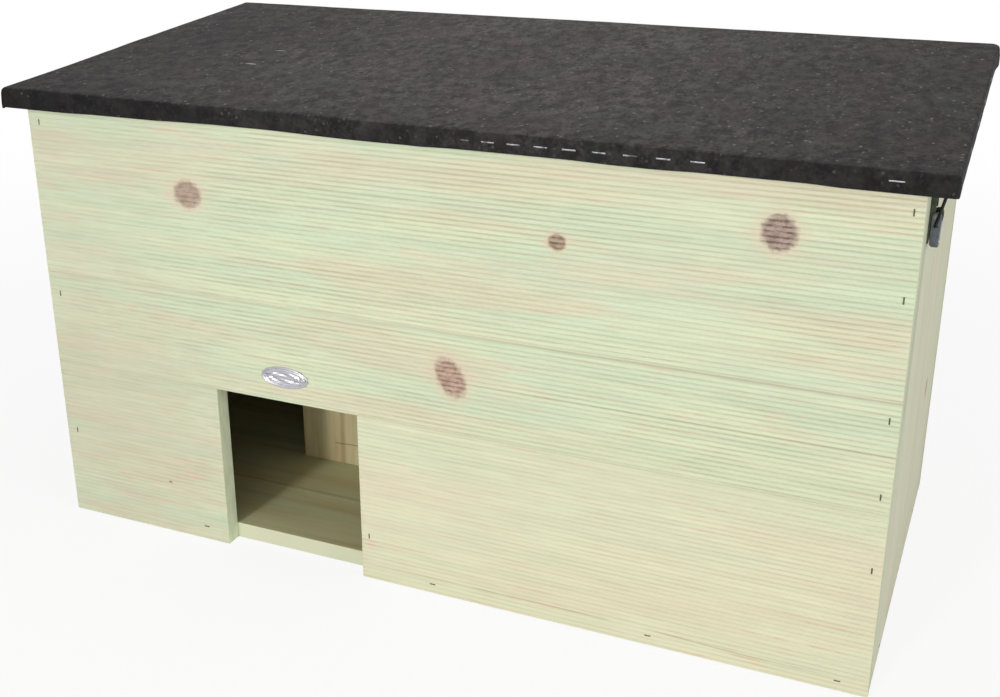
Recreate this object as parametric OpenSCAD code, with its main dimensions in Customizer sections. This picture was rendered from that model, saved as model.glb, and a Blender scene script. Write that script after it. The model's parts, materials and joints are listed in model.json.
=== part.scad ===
// Hedgehog house: a wooden box with a ribbed front, a low entrance, an inner
// wall that turns the way in, and a felted lid on hinges with two toggle latches.
// Millimetres. +Z is up, the front faces -Y, and the origin is the centre of
// the box's footprint on the ground.

/* [Box] */
// Width of the box across its front
body_w = 600; // [560:5:660]
// Depth of the box from front to back, walls included
body_d = 300; // [270:5:340]
// Height of the front wall at its outer face
front_h = 316; // [306:1:340]
// Slope of the lid, which rises to the back, in degrees
roof_pitch = 4.85; // [2:0.05:8]
// Thickness of the wall, floor and partition boards
board_t = 12; // [10:0.5:15]

/* [Front boards] */
// Height of the lowest course, which ends at the top of the entrance
course_1 = 125; // [115:1:140]
// Height of the middle course
course_2 = 70; // [60:1:85]
// Distance between two ribs
rib_pitch = 3.2; // [2.8:0.1:4]
// Depth of the grooves between the ribs
rib_depth = 0.5; // [0.3:0.1:0.8]
// Width of a groove at the face
rib_groove = 1.4; // [1:0.1:1.8]
// Thickness of the tongue on a board's edge
tongue_t = 4; // [3:0.25:5]
// Height of the tongue
tongue_h = 4; // [3:0.25:5]
// Clearance of a tongue in its groove
tongue_fit = 0.2; // [0.1:0.05:0.4]

/* [Back and floor boards] */
// Height of the two lower courses of the back wall
back_course = 125; // [110:1:140]
// Width of the narrow floor board behind the front wall
floor_front_w = 61; // [50:1:80]

/* [Entrance and partition] */
// Distance from the left end of the box to the entrance
entrance_x = 140; // [120:1:160]
// Width of the entrance
entrance_w = 112.5; // [105:0.5:125]
// Depth of the lobby between the front wall and the cross wall
lobby_d = 115; // [105:1:125]
// Width of the way round the end of the cross wall
passage_w = 117; // [110:1:130]
// Gap between the partition boards and the lid
partition_gap = 6; // [3:0.5:12]

/* [Lid] */
// Thickness of the lid's board
lid_board_t = 10; // [9:0.5:15]
// Thickness of the roofing felt
felt_t = 2; // [1.5:0.25:3]
// Overhang of the felted lid at each end
overhang_side = 15.5; // [15:0.5:25]
// Overhang of the felted lid at the front
overhang_front = 4; // [2:0.5:10]
// Gap between the closed lid and the tops of the walls
lid_gap = 0.3; // [0.2:0.05:0.6]

/* [Hinges] */
// Length of a hinge
hinge_l = 40; // [36:1:60]
// Distance from each end of the box to the middle of a hinge
hinge_inset = 100; // [60:5:160]
// Outer radius of the knuckles
knuckle_r = 2.6; // [2.4:0.1:2.8]
// Distance of the pin's axis from the back of the box
hinge_off = 2.9; // [2.9:0.1:3.2]
// Thickness of a leaf
leaf_t = 1.2; // [1:0.1:1.4]
// Length of the leaf on the back wall, from the pin's axis
wall_leaf_h = 12; // [11:0.5:16]
// Length of the leaf on the lid's back edge, from the pin's axis
lid_leaf_h = 10; // [9.5:0.25:11]
// Radius of the hinge pin
hinge_pin_r = 1.3; // [1:0.05:1.35]

/* [Latches] */
// Distance of a latch's middle behind the front face
latch_y = 35; // [30:1:60]
// Distance of the lever's pivot below the lid
latch_drop = 23.3; // [22:0.1:28]
// Distance of the lever's pivot from the side wall
pivot_off = 4; // [4:0.1:4.6]
// Thickness of the latch's sheet metal
sheet_t = 1; // [0.8:0.05:1.1]
// Width of the lever
lever_w = 14; // [13:0.5:18]
// Length of the lever below its pivot
lever_l = 16.5; // [15.5:0.5:22]
// Distance between the lever's pivot and the bail's pivot
bail_throw = 5; // [4.8:0.1:5.6]
// Radius of the bail's wire
wire_r = 0.9; // [0.7:0.05:1]
// Radius of the lever's rivet
rivet_r = 1; // [0.8:0.05:1.1]
// Width of the keeper's hook
hook_w = 10; // [8:0.5:11]
// Depth of the hook below the lid
hook_drop = 6.4; // [6:0.1:7.5]
// Width of the hook's mouth, in which the wire lies when it is hooked
hook_mouth = 3.6; // [3:0.1:4]
// Height of the hook's lip
hook_lip = 3; // [2.5:0.1:3.2]
// Gap between the keeper and the side wall
keeper_gap = 2; // [1.5:0.1:3]
// Gap between the unhooked bail and the hook's lip
bail_gap = 0.4; // [0.3:0.05:1]

/* [Badge] */
// Length of the oval badge
badge_w = 37; // [30:0.5:45]
// Height of the oval badge
badge_h = 15.5; // [12:0.5:20]
// Thickness of the badge
badge_t = 1.2; // [0.8:0.1:2]
// Height of the badge's middle above the entrance
badge_up = 18.5; // [14:0.5:30]
// How far right of the entrance's middle the badge sits
badge_right = 1.2; // [0:0.1:4]

/* [Fasteners] */
// Length of a wall staple's crown
wall_crown = 4.25; // [4:0.25:7]
// Length of a wall staple's legs
wall_leg = 28; // [22:1:35]
// Length of a felt staple's crown
felt_crown = 8.5; // [7:0.25:11]
// Length of a felt staple's legs
felt_leg = 8; // [6:0.5:9]
// Thickness of the staple wire
staple_t = 1; // [0.7:0.05:1.2]
// Height of a staple's crown above the surface
staple_proud = 0.15; // [0.1:0.05:0.4]
// Distance of a staple from a board's edge
staple_inset = 11; // [8:0.5:14]
// Radius of the screws' shanks
screw_r = 1.3; // [1:0.05:1.5]
// Radius of the screws' heads
screw_head_r = 2.4; // [2:0.05:2.6]
// Length of the screws in the lid's back edge, below the leaf
edge_screw_l = 14; // [10:0.5:18]
// Length of the badge's pins in the wood
badge_pin_l = 8; // [5:0.5:9]
// Distance between the first two felt staples of the front row
felt_step = 15; // [12:0.5:18]

/* [Hidden] */
$fn = 48;
// How far a cutting shape runs past what it cuts
over = 1;
// Radial clearance of a pin in its bore
run_fit = 0.05;
// Clearance between a moving piece and a fixed one beside it
move_gap = 0.4;

// Planes of the box
x_in = body_w / 2 - board_t;
y_front = -body_d / 2;
y_in = body_d / 2 - board_t;
inner_d = body_d - 2 * board_t;
rise = tan(roof_pitch);
back_h = front_h + body_d * rise;
z_course_2 = course_1 + course_2;
// Entrance edges, measured from the origin
entrance_left = entrance_x - body_w / 2;
entrance_right = entrance_left + entrance_w;
// Front face of the cross wall
cross_y = y_front + board_t + lobby_d;
cross_left = -x_in + passage_w;
// Widths of the boards that share the inner depth
side_board_w = inner_d / 3;
floor_board_w = (inner_d - floor_front_w) / 2;
// Axis of the hinge pins
hinge_y = body_d / 2 + hinge_off;
hinge_z = front_h + (hinge_y - y_front) * rise + lid_gap / 2 / cos(roof_pitch);
// Felted lid, in the lid's own frame at the hinge axis
lid_t = lid_board_t + felt_t;
lid_w = body_w + 2 * overhang_side;
lid_d = (body_d + overhang_front) / cos(roof_pitch);
knuckle_l = (hinge_l - 2 * lid_gap) / 3;
hinge_x = body_w / 2 - hinge_inset;
hinge_screw_x = hinge_l * 0.3;
wall_screw_z = 7.5;
lid_screw_z = 6.4;
// How much nearer the wall the bail's pivot lies than the lever's
bail_back = 0.4;
// Clearance between the bail's legs and the lever's flanges
bail_clear = 0.9;
// Width of metal round a rivet's bore
ear_wall = 1.4;
// Clearance between the base's ears and the lever's flanges
ear_gap = 0.5;
// Clearance beside the heads of the keeper's screws
head_clear = 0.3;
// Latch places: x counts outward from the side wall, z from the lever's pivot
latch_yw = y_front + latch_y;
function wall_top(y) = front_h + (y - y_front) * rise;
function lid_under(y) = wall_top(y) + lid_gap / cos(roof_pitch);
pivot_z = lid_under(latch_yw) - latch_drop;
bail_x = pivot_off - bail_back;
hook_x = keeper_gap + sheet_t + hook_mouth / 2;
hook_z = latch_drop - hook_drop + sheet_t + wire_r;
lip_x = keeper_gap + 2 * sheet_t + hook_mouth;
bail_l = norm([hook_x - bail_x, hook_z + bail_throw]);
rest_x = lip_x + bail_gap + wire_r;
bail_tilt = asin((rest_x - bail_x) / bail_l);
leg_y = lever_w / 2 + wire_r + bail_clear;
bend_r = 2;
ear_r = rivet_r + ear_wall;
flange_r = 2.6;
base_w = lever_w + 2;
base_top = 13;
base_low = 15;
upper_screw_z = 8.5;
lower_screw_z = -11.5;
keeper_d = 18;
keeper_screw_x = lip_x + screw_head_r + head_clear;
keeper_screw_y = keeper_d / 2 - 2.5;
keeper_w = keeper_screw_x + screw_head_r + head_clear - keeper_gap;
pan_h = 1.2;
pan_taper = 0.6;

wood_front = [0.84, 0.86, 0.72];
wood_plain = [0.77, 0.75, 0.62];
wood_floor = [0.80, 0.80, 0.66];
felt_dark = [0.27, 0.26, 0.26];
zinc = [0.55, 0.57, 0.58];
steel = [0.72, 0.73, 0.74];
silver = [0.80, 0.79, 0.83];

// Board profiles: depth from the outer face runs along X, height along Y
function rib_points(h) = [
  for (i = [0 : floor((h - rib_pitch) / rib_pitch)])
    for (p = [[0, -rib_groove / 2], [rib_depth, 0], [0, rib_groove / 2]])
      [p[0], rib_pitch * (i + 0.5) + p[1]]
];
function tongue_points(h) = [
  [board_t / 2 - tongue_t / 2, h], [board_t / 2 - tongue_t / 2, h + tongue_h],
  [board_t / 2 + tongue_t / 2, h + tongue_h], [board_t / 2 + tongue_t / 2, h]
];
function groove_points() = [
  [board_t / 2 + tongue_t / 2 + tongue_fit, 0],
  [board_t / 2 + tongue_t / 2 + tongue_fit, tongue_h + tongue_fit],
  [board_t / 2 - tongue_t / 2 - tongue_fit, tongue_h + tongue_fit],
  [board_t / 2 - tongue_t / 2 - tongue_fit, 0]
];
// bevel is how much higher the inner face ends than the outer one
function profile(h, ribs, tongue, groove, bevel) = concat(
  [[0, 0]], ribs ? rib_points(h) : [], [[0, h]],
  tongue ? tongue_points(h) : [],
  [[board_t, h + bevel], [board_t, 0]],
  groove ? groove_points() : []
);

// A board that runs along X, standing on height z with its outer face at y_front
module front_board(x1, x2, z, h, tongue, groove, bevel) {
  color(wood_front) translate([x1, y_front, z]) rotate([90, 0, 90])
    linear_extrude(x2 - x1) polygon(profile(h, true, tongue, groove, bevel));
}

module back_board(z, h, tongue, groove, bevel) {
  color(wood_plain) mirror([0, 1, 0]) translate([-body_w / 2, y_front, z]) rotate([90, 0, 90])
    linear_extrude(body_w) polygon(profile(h, false, tongue, groove, bevel));
}

// The space under the lid, lowered by gap and as wide as the box
module under_lid(gap) {
  translate([-body_w / 2, 0, 0]) rotate([90, 0, 90]) linear_extrude(body_w)
    polygon([
      [y_front, 0], [-y_front, 0],
      [-y_front, back_h - gap], [y_front, front_h - gap]
    ]);
}

// An upright board in a side wall: i counts from the front, side is -1 or 1
module side_board(side, i) {
  color(wood_plain) intersection() {
    mirror([side < 0 ? 1 : 0, 0, 0])
      translate([body_w / 2, y_front + board_t + i * side_board_w, 0])
        mirror([1, 0, 0]) linear_extrude(back_h + over)
          polygon(profile(side_board_w, false, i < 2, i > 0, 0));
    under_lid(0);
  }
}

// A floor board of width w whose front edge is at y
module floor_board(y, w, tongue, groove) {
  color(wood_floor) translate([-x_in, y, 0]) rotate([90, 0, 90]) linear_extrude(2 * x_in)
    mirror([1, 0]) rotate(90) polygon(profile(w, false, tongue, groove, 0));
}

module partition_cross_board() {
  color(wood_plain) intersection() {
    translate([cross_left, cross_y, board_t])
      cube([entrance_right + board_t - cross_left, board_t, back_h]);
    under_lid(partition_gap);
  }
}

module partition_side_board() {
  color(wood_plain) intersection() {
    translate([entrance_right, y_front + board_t, board_t]) cube([board_t, lobby_d, back_h]);
    under_lid(partition_gap);
  }
}

// Places what follows in the lid's frame: origin on the hinge axis, y along the slope
module in_lid_frame() {
  translate([0, hinge_y, hinge_z]) rotate([roof_pitch, 0, 0]) children();
}

// A block of the lid: in is how far it stays inside the felt's outer faces
module lid_block(in, z1, z2) {
  translate([-lid_w / 2 + in, -hinge_off - lid_d + in, z1])
    cube([lid_w - 2 * in, lid_d - 2 * in, z2 - z1]);
}

module lid_board() {
  color(wood_plain) in_lid_frame() lid_block(felt_t, lid_gap / 2, lid_gap / 2 + lid_board_t);
}

// Felt on the top, folded down over the four edges
module roofing_felt() {
  color(felt_dark) in_lid_frame() difference() {
    lid_block(0, lid_gap / 2, lid_gap / 2 + lid_t);
    lid_block(felt_t, -over, lid_gap / 2 + lid_board_t);
  }
}

function oval(w, h) = [for (a = [0 : 7.5 : 359]) [w / 2 * cos(a), h / 2 * sin(a)]];
badge_x = entrance_left + entrance_w / 2 + badge_right;
badge_z = course_1 + badge_up;
badge_rim = 1.4;
badge_floor = badge_t * 0.65;
badge_pin_x = badge_w / 2 - 3.2;
badge_pin_r = 0.6;
badge_pin_head = 0.4;

module badge() {
  color(silver) translate([badge_x, y_front, badge_z]) rotate([90, 0, 0]) difference() {
    linear_extrude(badge_t) polygon(oval(badge_w, badge_h));
    translate([0, 0, badge_floor]) linear_extrude(badge_t)
      polygon(oval(badge_w - 2 * badge_rim, badge_h - 2 * badge_rim));
    for (s = [-1, 1])
      translate([s * badge_pin_x, 0, -over])
        cylinder(h = badge_t + 2 * over, r = badge_pin_r + run_fit);
  }
}

module badge_pins() {
  color(steel) for (s = [-1, 1])
    translate([badge_x + s * badge_pin_x, y_front, badge_z]) rotate([90, 0, 0]) {
      translate([0, 0, -badge_pin_l])
        cylinder(h = badge_pin_l + badge_floor + run_fit, r = badge_pin_r);
      translate([0, 0, badge_floor + run_fit])
        cylinder(h = badge_pin_head, r = 1.8 * badge_pin_r);
    }
}

// A staple driven towards -Z, its crown along X
module staple(crown, leg) {
  translate([-crown / 2, -staple_t / 2, staple_proud - staple_t])
    cube([crown, staple_t, staple_t]);
  for (x = [-crown / 2, crown / 2 - staple_t])
    translate([x, -staple_t / 2, staple_proud - leg]) cube([staple_t, staple_t, leg]);
}

// Staples through the front wall: upright is true where the crown stands upright
module front_staple(x, z, upright) {
  translate([x, y_front, z]) rotate([90, 0, 0]) rotate(upright ? 90 : 0)
    staple(wall_crown, wall_leg);
}

right_edge_z = [
  front_h - staple_inset, (front_h + z_course_2) / 2, z_course_2 - staple_inset,
  course_1 + staple_inset, course_1 * 0.7
];
left_edge_z = [front_h - staple_inset, z_course_2 - 1.5 * staple_inset, course_1 * 0.55];
edge_x = body_w / 2 - board_t / 2;
left_edge_x = -body_w / 2 + board_t * 0.75;
floor_z = board_t / 2 + 1;
floor_row_x = [for (k = [0.157, 0.6, 0.946]) entrance_right + k * (body_w / 2 - entrance_right)];

module front_wall_staples() {
  color(steel) {
    for (z = right_edge_z) front_staple(edge_x, z, true);
    for (z = left_edge_z) front_staple(left_edge_x, z, true);
    for (x = floor_row_x) front_staple(x, floor_z, false);
    front_staple(entrance_left - 1.7 * staple_inset, board_t - 1.5 * staple_t, false);
    front_staple(entrance_right + board_t / 2, course_1 * 0.27, true);
  }
}

module back_wall_staples() {
  color(steel) mirror([0, 1, 0]) {
    for (s = [-1, 1])
      for (z = [
        staple_inset + board_t, back_course - staple_inset, back_course + staple_inset,
        2 * back_course - staple_inset, back_h - 1.5 * staple_inset
      ])
        front_staple(s * edge_x, z, true);
    for (k = [-2 : 2]) front_staple(k * body_w / 6, floor_z, false);
  }
}

// Staples through the side walls into the ends of the floor boards
module side_wall_staples() {
  color(steel) for (s = [-1, 1])
    for (y = [
      y_front + board_t + floor_front_w * 0.6,
      y_in - floor_board_w * 1.3, y_in - floor_board_w * 0.45
    ])
      translate([s * body_w / 2, y, board_t / 2]) rotate([0, s * 90, 0]) rotate(90)
        staple(wall_crown, wall_leg);
}

// Staples through the floor and the cross wall into the partition boards.
// Those under the floor are sunk a little, so that nothing is lower than the floor.
module partition_staples() {
  under_floor = 2 * staple_proud;
  color(steel) {
    for (k = [0.2, 0.75])
      translate([
        cross_left + k * (entrance_right - cross_left), cross_y + board_t / 2, under_floor
      ])
        rotate([180, 0, 0]) staple(wall_crown, wall_leg);
    translate([entrance_right + board_t / 2, y_front + board_t + 0.75 * lobby_d, under_floor])
      rotate([180, 0, 90]) staple(wall_crown, wall_leg);
    for (z = [0.3 * front_h, 0.75 * front_h])
      translate([entrance_right + board_t / 2, cross_y + board_t, z]) rotate([-90, 0, 0])
        rotate(90) staple(wall_crown, wall_leg);
  }
}

// Felt staples: the front row's spacing opens out to the right, and the rows at
// the ends run from behind the keepers to near the back
felt_edge_z = (lid_gap + lid_t) / 2;
felt_row_start = 20;
felt_row_spread = 0.28;
felt_end_inset = 16;
keeper_y = (latch_yw - hinge_y) / cos(roof_pitch);
end_row = [keeper_y + keeper_d / 2 + 2 * felt_crown, -hinge_off - lid_board_t - 2 * felt_crown];

module felt_staples() {
  color(steel) in_lid_frame() {
    translate([0, -hinge_off - lid_d, felt_edge_z]) rotate([90, 0, 0]) {
      for (i = [0 : 9])
        translate([felt_row_start + felt_step * i + felt_row_spread * i * i, 0, 0])
          staple(felt_crown, felt_leg);
      translate([body_w / 2 - felt_end_inset, 0, 0]) staple(felt_crown, felt_leg);
    }
    for (s = [-1, 1])
      for (k = [0 : 0.25 : 1])
        translate([s * lid_w / 2, end_row[0] + k * (end_row[1] - end_row[0]), felt_edge_z])
          rotate([0, s * 90, 0]) rotate(90) staple(felt_crown, felt_leg);
    for (x = [-0.42, -0.25, -0.083, 0.083, 0.25, 0.42])
      translate([x * lid_w, -hinge_off, felt_edge_z]) rotate([-90, 0, 0])
        staple(felt_crown, felt_leg);
    for (k = [0.515, 0.65])
      translate([-0.288 * lid_w, -hinge_off - k * lid_d, lid_gap / 2 + lid_t])
        staple(felt_crown, felt_leg);
  }
}

// One leaf: up is 1 for the leaf on the lid and -1 for the leaf on the wall.
// The lid's leaf holds the middle knuckle and the wall's leaf the outer two.
module hinge_leaf(up, h, screw_z) {
  own = up > 0 ? [0] : [-1, 1];
  step = knuckle_l + lid_gap;
  difference() {
    union() {
      for (i = own)
        translate([i * step - knuckle_l / 2, 0, 0]) rotate([0, 90, 0])
          cylinder(h = knuckle_l, r = knuckle_r);
      for (i = own)
        translate([i * step - knuckle_l / 2, -hinge_off, up > 0 ? lid_gap : -h + lid_gap])
          cube([knuckle_l, leaf_t, h - 2 * lid_gap]);
      translate([-hinge_l / 2, -hinge_off, up > 0 ? knuckle_r + move_gap : -h])
        cube([hinge_l, leaf_t, h - knuckle_r - move_gap]);
    }
    translate([-hinge_l, 0, 0]) rotate([0, 90, 0])
      cylinder(h = 2 * hinge_l, r = hinge_pin_r + run_fit);
    for (s = [-1, 1])
      translate([s * hinge_screw_x, -hinge_off, up * screw_z]) rotate([-90, 0, 0]) {
        translate([0, 0, -over]) cylinder(h = leaf_t + 2 * over, r = screw_r + run_fit);
        cylinder(h = leaf_t, r1 = screw_r + run_fit, r2 = screw_head_r + run_fit);
      }
  }
}

module hinge_wall_leaf(s) {
  color(zinc) translate([s * hinge_x, hinge_y, hinge_z])
    hinge_leaf(-1, wall_leaf_h, wall_screw_z);
}

module hinge_lid_leaf(s) {
  color(zinc) in_lid_frame() translate([s * hinge_x, 0, 0])
    hinge_leaf(1, lid_leaf_h, lid_screw_z);
}

module hinge_pin(s) {
  head = 0.7;
  color(steel) translate([s * hinge_x, hinge_y, hinge_z]) rotate([0, 90, 0]) {
    translate([0, 0, -hinge_l / 2 - run_fit])
      cylinder(h = hinge_l + 2 * run_fit, r = hinge_pin_r);
    for (k = [-1, 1])
      translate([0, 0, k * (hinge_l / 2 + run_fit + head / 2) - head / 2])
        cylinder(h = head, r = knuckle_r - 0.5);
  }
}

// A countersunk screw whose head lies in a leaf that spans y from 0 to leaf_t
module leaf_screw(leg) {
  rotate([90, 0, 0]) translate([0, 0, -leaf_t]) {
    cylinder(h = leaf_t, r1 = screw_head_r, r2 = screw_r);
    cylinder(h = leaf_t + leg, r = screw_r);
  }
}

module hinge_wall_screws() {
  color(steel) for (s = [-1, 1])
    for (k = [-1, 1])
      translate([s * hinge_x + k * hinge_screw_x, body_d / 2, hinge_z - wall_screw_z])
        leaf_screw(board_t - 2);
}

module hinge_lid_screws() {
  color(steel) in_lid_frame() for (s = [-1, 1])
    for (k = [-1, 1])
      translate([s * hinge_x + k * hinge_screw_x, -hinge_off, lid_screw_z])
        leaf_screw(edge_screw_l);
}

// Places a latch: origin on the lever's pivot, x outward from the side wall
module at_latch(side) {
  mirror([side < 0 ? 1 : 0, 0, 0]) translate([body_w / 2 + pivot_off, latch_yw, pivot_z])
    children();
}

// A round bar along Y from y1 to y2
module bar_y(y1, y2, r) {
  translate([0, y1, 0]) rotate([-90, 0, 0]) cylinder(h = y2 - y1, r = r);
}

ear_y = lever_w / 2 - sheet_t - ear_gap;

module latch_base(side) {
  cheek_h = 2;
  cheek_low = flange_r + move_gap;
  color(zinc) at_latch(side) difference() {
    union() {
      translate([-pivot_off, -base_w / 2, -base_low]) cube([sheet_t, base_w, base_low + base_top]);
      for (y = [-lever_w / 2, lever_w / 2 - sheet_t]) translate([-pivot_off, y, cheek_low])
        cube([sheet_t + cheek_h, sheet_t, base_top - cheek_low]);
      for (k = [-1, 1]) translate([0, k * (ear_y - sheet_t / 2), 0]) {
        bar_y(-sheet_t / 2, sheet_t / 2, ear_r);
        translate([-pivot_off, -sheet_t / 2, -ear_r]) cube([pivot_off, sheet_t, 2 * ear_r]);
      }
    }
    bar_y(-lever_w, lever_w, rivet_r + run_fit);
    for (z = [upper_screw_z, lower_screw_z])
      translate([-pivot_off - over, 0, z]) rotate([0, 90, 0])
        cylinder(h = sheet_t + 2 * over, r = screw_r + 0.2);
  }
}

// Lever: two flanges round the pivots, and a web that ends in a turned-out lip
module latch_lever(side) {
  web_x = 1.6;
  web_top = -ear_r - move_gap;
  tail_r = 2.5;
  flange_low = lever_l - tail_r;
  flange_foot = 1.2;
  lip_lean = 30;
  lip_w = lever_w - 6;
  lip_h = 2.4;
  color(zinc) at_latch(side) difference() {
    union() {
      translate([web_x, 0, 0]) rotate([90, 0, 90]) linear_extrude(sheet_t) {
        translate([-lever_w / 2, -flange_low]) square([lever_w, flange_low + web_top]);
        hull() for (k = [-1, 1])
          translate([k * (lever_w / 2 - tail_r), -flange_low]) circle(r = tail_r);
      }
      for (k = [-1, 1]) translate([0, k * (lever_w / 2 - sheet_t / 2), 0]) {
        bar_y(-sheet_t / 2, sheet_t / 2, flange_r);
        translate([-flange_r, sheet_t / 2, 0]) rotate([90, 0, 0]) linear_extrude(sheet_t)
          polygon([
            [0, 0], [2 * flange_r, 0], [flange_r + web_x + sheet_t, web_top],
            [flange_r + web_x + sheet_t, -flange_low], [flange_foot, -flange_low],
            [0, flange_foot - flange_low]
          ]);
      }
      translate([web_x + sheet_t * 0.5, -lip_w / 2, -lever_l + 0.6 * sheet_t])
        rotate([0, 180 - lip_lean, 0]) cube([sheet_t, lip_w, lip_h]);
    }
    bar_y(-lever_w, lever_w, rivet_r + run_fit);
    translate([bail_x - pivot_off, 0, -bail_throw]) bar_y(-lever_w, lever_w, wire_r + run_fit);
  }
}

module latch_rivet(side) {
  color(steel) at_latch(side) {
    bar_y(-lever_w / 2 - run_fit, lever_w / 2 + run_fit, rivet_r);
    for (k = [-1, 1]) translate([0, k * (lever_w / 2 + run_fit + 0.2), 0])
      bar_y(-0.2, 0.2, rivet_r + 0.7);
  }
}

// Bail: a wire loop whose ends turn in at the lever's lower bores
module latch_bail(side) {
  stub_in = lever_w / 2 - sheet_t - 0.2;
  color(steel) at_latch(side) translate([bail_x - pivot_off, 0, -bail_throw])
    rotate([0, bail_tilt, 0]) {
      for (k = [0, 1]) mirror([0, k, 0]) {
        bar_y(stub_in, leg_y - bend_r, wire_r);
        translate([0, leg_y - bend_r, bend_r]) rotate([90, 0, 90]) rotate(-90)
          rotate_extrude(angle = 90) translate([bend_r, 0]) circle(r = wire_r);
        translate([0, leg_y, bend_r]) cylinder(h = bail_l - 2 * bend_r, r = wire_r);
        translate([0, leg_y - bend_r, bail_l - bend_r]) rotate([90, 0, 90])
          rotate_extrude(angle = 90) translate([bend_r, 0]) circle(r = wire_r);
      }
      translate([0, 0, bail_l]) bar_y(-leg_y + bend_r, leg_y - bend_r, wire_r);
    }
}

// Places a keeper: origin on the underside of the lid at the side wall's outer face
module at_keeper(side) {
  mirror([side < 0 ? 1 : 0, 0, 0]) in_lid_frame()
    translate([body_w / 2, (latch_yw - hinge_y) / cos(roof_pitch), lid_gap / 2]) children();
}

// Keeper: a plate under the overhang with a hook that opens upward
module latch_keeper(side) {
  color(zinc) at_keeper(side) difference() {
    union() {
      translate([keeper_gap, -keeper_d / 2, -sheet_t]) cube([keeper_w, keeper_d, sheet_t]);
      translate([keeper_gap, -hook_w / 2, -hook_drop]) cube([sheet_t, hook_w, hook_drop]);
      translate([keeper_gap, -hook_w / 2, -hook_drop])
        cube([lip_x - keeper_gap, hook_w, sheet_t]);
      translate([lip_x - sheet_t, -hook_w / 2, -hook_drop]) cube([sheet_t, hook_w, hook_lip]);
    }
    for (k = [-1, 1]) translate([keeper_screw_x, k * keeper_screw_y, -over - sheet_t])
      cylinder(h = sheet_t + 2 * over, r = screw_r + 0.2);
  }
}

// A screw with a low round head, driven towards -Z from a face at z = 0
module pan_screw(leg) {
  translate([0, 0, -leg]) cylinder(h = leg + pan_h / 2, r = screw_r);
  cylinder(h = pan_h, r1 = screw_head_r, r2 = screw_head_r - pan_taper);
}

module latch_screws() {
  color(steel) for (side = [-1, 1]) at_latch(side)
    for (z = [upper_screw_z, lower_screw_z])
      translate([sheet_t - pivot_off, 0, z]) rotate([0, 90, 0]) pan_screw(board_t - 1);
}

module keeper_screws() {
  color(steel) for (side = [-1, 1]) at_keeper(side)
    for (k = [-1, 1])
      translate([keeper_screw_x, k * keeper_screw_y, -sheet_t]) rotate([180, 0, 0])
        pan_screw(lid_board_t - 1);
}

front_board(-body_w / 2, body_w / 2, z_course_2, front_h - z_course_2, false, true, board_t * rise);  // front_top_board
front_board(-body_w / 2, body_w / 2, course_1, course_2, true, true, 0);  // front_middle_board
front_board(-body_w / 2, entrance_left, 0, course_1, true, false, 0);  // front_lower_left_board
front_board(entrance_right, body_w / 2, 0, course_1, true, false, 0);  // front_lower_right_board
back_board(2 * back_course, back_h - 2 * back_course, false, true, -board_t * rise);  // back_top_board
back_board(back_course, back_course, true, true, 0);  // back_middle_board
back_board(0, back_course, true, false, 0);  // back_lower_board
side_board(-1, 0);  // left_wall_front_board
side_board(-1, 1);  // left_wall_middle_board
side_board(-1, 2);  // left_wall_rear_board
side_board(1, 0);  // right_wall_front_board
side_board(1, 1);  // right_wall_middle_board
side_board(1, 2);  // right_wall_rear_board
floor_board(y_front + board_t, floor_front_w, true, false);  // floor_front_board
floor_board(y_in - 2 * floor_board_w, floor_board_w, true, true);  // floor_middle_board
floor_board(y_in - floor_board_w, floor_board_w, false, true);  // floor_rear_board
partition_cross_board();
partition_side_board();
lid_board();
roofing_felt();
badge();
badge_pins();
front_wall_staples();
back_wall_staples();
side_wall_staples();
partition_staples();
felt_staples();
hinge_wall_leaf(-1);  // left_hinge_wall_leaf
hinge_lid_leaf(-1);  // left_hinge_lid_leaf
hinge_pin(-1);  // left_hinge_pin
hinge_wall_leaf(1);  // right_hinge_wall_leaf
hinge_lid_leaf(1);  // right_hinge_lid_leaf
hinge_pin(1);  // right_hinge_pin
hinge_wall_screws();
hinge_lid_screws();
latch_base(-1);  // left_latch_base
latch_lever(-1);  // left_latch_lever
latch_rivet(-1);  // left_latch_rivet
latch_bail(-1);  // left_latch_bail
latch_keeper(-1);  // left_latch_keeper
latch_base(1);  // right_latch_base
latch_lever(1);  // right_latch_lever
latch_rivet(1);  // right_latch_rivet
latch_bail(1);  // right_latch_bail
latch_keeper(1);  // right_latch_keeper
latch_screws();
keeper_screws();
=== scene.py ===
import json
import math

import bmesh
import bpy
from mathutils import Matrix, Vector, noise


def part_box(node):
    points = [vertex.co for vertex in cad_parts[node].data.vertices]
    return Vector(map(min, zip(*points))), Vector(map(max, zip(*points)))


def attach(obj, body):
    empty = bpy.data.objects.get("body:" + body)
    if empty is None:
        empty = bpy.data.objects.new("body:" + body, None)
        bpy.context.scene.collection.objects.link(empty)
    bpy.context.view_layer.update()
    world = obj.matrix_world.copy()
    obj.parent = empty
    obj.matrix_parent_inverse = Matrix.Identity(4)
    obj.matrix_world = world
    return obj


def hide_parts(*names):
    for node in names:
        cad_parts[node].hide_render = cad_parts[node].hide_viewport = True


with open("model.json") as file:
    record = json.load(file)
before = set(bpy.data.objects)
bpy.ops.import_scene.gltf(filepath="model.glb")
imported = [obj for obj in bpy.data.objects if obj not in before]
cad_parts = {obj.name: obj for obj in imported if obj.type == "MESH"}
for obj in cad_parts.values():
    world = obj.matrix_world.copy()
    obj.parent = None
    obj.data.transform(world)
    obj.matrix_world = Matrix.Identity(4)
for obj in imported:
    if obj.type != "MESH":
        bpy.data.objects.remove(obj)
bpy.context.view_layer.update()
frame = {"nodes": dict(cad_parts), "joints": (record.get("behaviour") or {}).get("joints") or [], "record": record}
MM = 0.001
# Points this close together count as being at the same place
CLOSE = 0.01 * MM

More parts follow.
